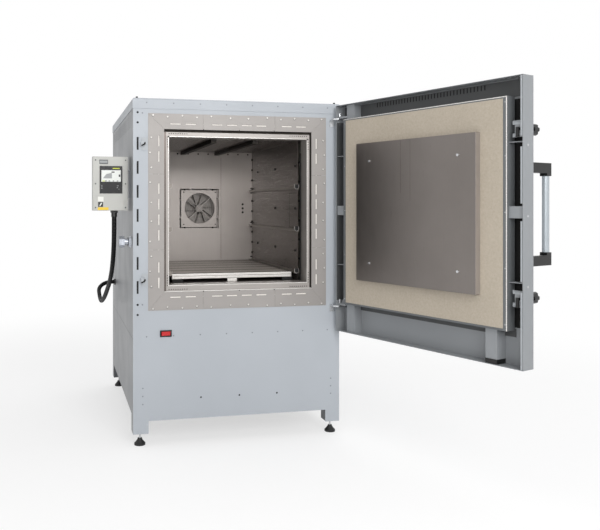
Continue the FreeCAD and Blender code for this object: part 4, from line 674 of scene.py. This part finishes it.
def dress_door():
    """Screws, flanges, shade sheets, vent slots of painted shade, painted highlights and trim of
    the door, all given with the door closed.
    """
    screws = Piece("door_edge_screws", "door", "zinc", "zinc")
    for z in (1522, 1224, 926):
        screws.disc("x", (-580, -719, z), 5, 2, top=5)
        screws.disc("x", (574, -719, z), 5, 2, top=3.5)
    screws.done()
    bars("door_return_flange", "door", "rim", "door_paint",
         [((-574, -566), (-689, -687.2), span)
          for span in ((580, 905), (948, 1203), (1277, 1516), (1560, 1815))], 0.5)
    floor_sheet = (-754.8, -754)
    bars("door_wall_shade", "door", "shadow", "door_paint",
         [((570.6, 571.6), (-753, -692), (745, 1725)),
          ((-571, 571), floor_sheet, (1738, 1812)), ((-500, 571), floor_sheet, (700, 736))])
    # Vent slots drawn dark on both faces: painted shade.
    slots, pitch, wide = [], 19, 5
    for step in range(36):
        span = (321 - pitch * step, 321 - pitch * step + wide)
        slots += [(span, (-754.2, -753.4), (1786, 1809)), (span, (-759.7, -759), (1786, 1809))]
    bars("door_vent_slot_shade", "door", "shade_and_black_heads", "dark_steel", slots)
    bars("door_gap_shade", "door", "shade_and_black_heads", "dark_steel", [((-552, -300), floor_sheet, (742, 1728))])
    guides = []
    for z in LATCH_LEVELS:
        guides += [((-556, -520), (-703, -700.5), span)
                   for span in ((z + 19, z + 35), (z - 35, z - 18))]
    bars("latch_guide_flanges", "door", "rim", "door_paint", guides, 0.5)
    rim = (-682.2, -681)
    # A bright line on the liner's rim: painted highlight.
    bars("liner_edge_highlight", "door", "highlight", "stainless",
         [((-506, 506), rim, (1731.5, 1735)), ((-506, -501), rim, (733, 1736))], 0.5)
    bars("shield_hem", "door", "chamber", "stainless",
         [((-373.2, -372), (-680, -649), (877, 1590))], 0.5)
    # The door paint holds the painted shade of its inside, so the outer face gets a sheet in the
    # shell paint.
    bars("door_front_sheet", "door", "shell", "door_paint",
         [((-573, 573), (-759.3, -758.7), (578, 1817))])
    crease = (-649.4, -648.7)
    bars("shield_creases", "door", "tunnel", "stainless",
         [((63, 64.4), crease, (1330, 1588)), ((2, 3.2), crease, (1290, 1588))])
    heads = Piece("liner_screws", "door", "zinc", "zinc")
    for x in (-496, 496):
        for z in (760, 1000, 1240, 1480, 1710):
            heads.disc("y", (x, -682.4, z), 3, 1.4, 12, top=2)
    heads.done()
    collars = Piece("knob_collars", "door", "zinc", "zinc", 0.6)
    for z in LATCH_LEVELS:
        collars.disc("y", (-553, -762.5, z), 17, 3.4)
    collars.done()


dress_controller()
dress_chamber()
dress_mouth()
dress_cabinet()
dress_door()

# lights, floor and background


def add_light(name, place, target, size, power):
    data = bpy.data.lights.new(name, "AREA")
    data.shape = "RECTANGLE"
    data.size, data.size_y = size
    data.energy = power
    light = bpy.data.objects.new(name, data)
    light.location = place
    light.rotation_mode = "QUATERNION"
    aim = Vector(target) - Vector(place)
    light.rotation_quaternion = aim.to_track_quat("-Z", "Y")
    bpy.context.collection.objects.link(light)


def seen_rays(nodes, links):
    """1 for the rays that show the background: to the camera, by reflection or through glass."""
    path = nodes.new("ShaderNodeLightPath")
    last = path.outputs["Is Camera Ray"]
    for kind in ("Is Glossy Ray", "Is Transmission Ray"):
        node = nodes.new("ShaderNodeMath")
        node.operation = "MAXIMUM"
        links.new(last, node.inputs[0])
        links.new(path.outputs[kind], node.inputs[1])
        last = node.outputs[0]
    return last


def floor_material():
    """A pale floor that fades, where it is seen, into the white background some metres away."""
    material = Material("floor_paint", 0.9)
    material.colour(material.ramp(material.noise(0.5), [(0.3, (250, 250, 250)),
                                                        (0.7, (253, 253, 253))]))
    nodes, links = material.nodes, material.links
    away = nodes.new("ShaderNodeVectorMath")
    away.operation = "LENGTH"
    links.new(material.place, away.inputs[0])
    fade = nodes.new("ShaderNodeMapRange")
    fade.interpolation_type = "SMOOTHSTEP"
    fade.inputs["From Min"].default_value = 1.6
    fade.inputs["From Max"].default_value = 4.5
    fade.inputs["To Min"].default_value = 0.6
    links.new(away.outputs["Value"], fade.inputs["Value"])
    share = nodes.new("ShaderNodeMath")
    share.operation = "MULTIPLY"
    links.new(fade.outputs["Result"], share.inputs[0])
    links.new(seen_rays(nodes, links), share.inputs[1])
    glow = nodes.new("ShaderNodeEmission")
    glow.inputs["Color"].default_value = (1, 1, 1, 1)
    mix = nodes.new("ShaderNodeMixShader")
    links.new(share.outputs[0], mix.inputs[0])
    links.new(material.shader.outputs[0], mix.inputs[1])
    links.new(glow.outputs[0], mix.inputs[2])
    links.new(mix.outputs[0], nodes["Material Output"].inputs["Surface"])
    return material.data


def add_stage():
    """The floor and the world, which is white where it is seen and dimmer where it lights."""
    mesh = bpy.data.meshes.new("floor")
    reach = 40
    mesh.from_pydata([(-reach, -reach, 0), (reach, -reach, 0), (reach, reach, 0),
                      (-reach, reach, 0)], [], [(0, 1, 2, 3)])
    floor = bpy.data.objects.new("floor", mesh)
    bpy.context.collection.objects.link(floor)
    floor.data.materials.append(floor_material())
    world = bpy.data.worlds.new("studio")
    bpy.context.scene.world = world
    world.use_nodes = True
    nodes, links = world.node_tree.nodes, world.node_tree.links
    background = nodes["Background"]
    background.inputs["Color"].default_value = (1, 1, 1, 1)
    level = nodes.new("ShaderNodeMapRange")
    level.inputs["To Min"].default_value = 0.45
    level.inputs["To Max"].default_value = 1.0
    links.new(seen_rays(nodes, links), level.inputs["Value"])
    links.new(level.outputs["Result"], background.inputs["Strength"])


add_stage()
add_light("key", (0.5, -5.4, 3.0), (0, -0.3, 0.9), (2.2, 2.0), 110)
add_light("fill", (-1.7, -5.4, 1.9), (0.3, -0.6, 1.1), (1.6, 1.6), 55)
add_light("rear", (3.2, 5.0, 3.2), (0.2, 0.4, 0.9), (6.5, 5.0), 120)
add_light("overhead", (0.2, -0.4, 5.0), (0.1, 0, 0.9), (5.0, 5.0), 70)
bpy.context.scene.view_settings.view_transform = "Standard"
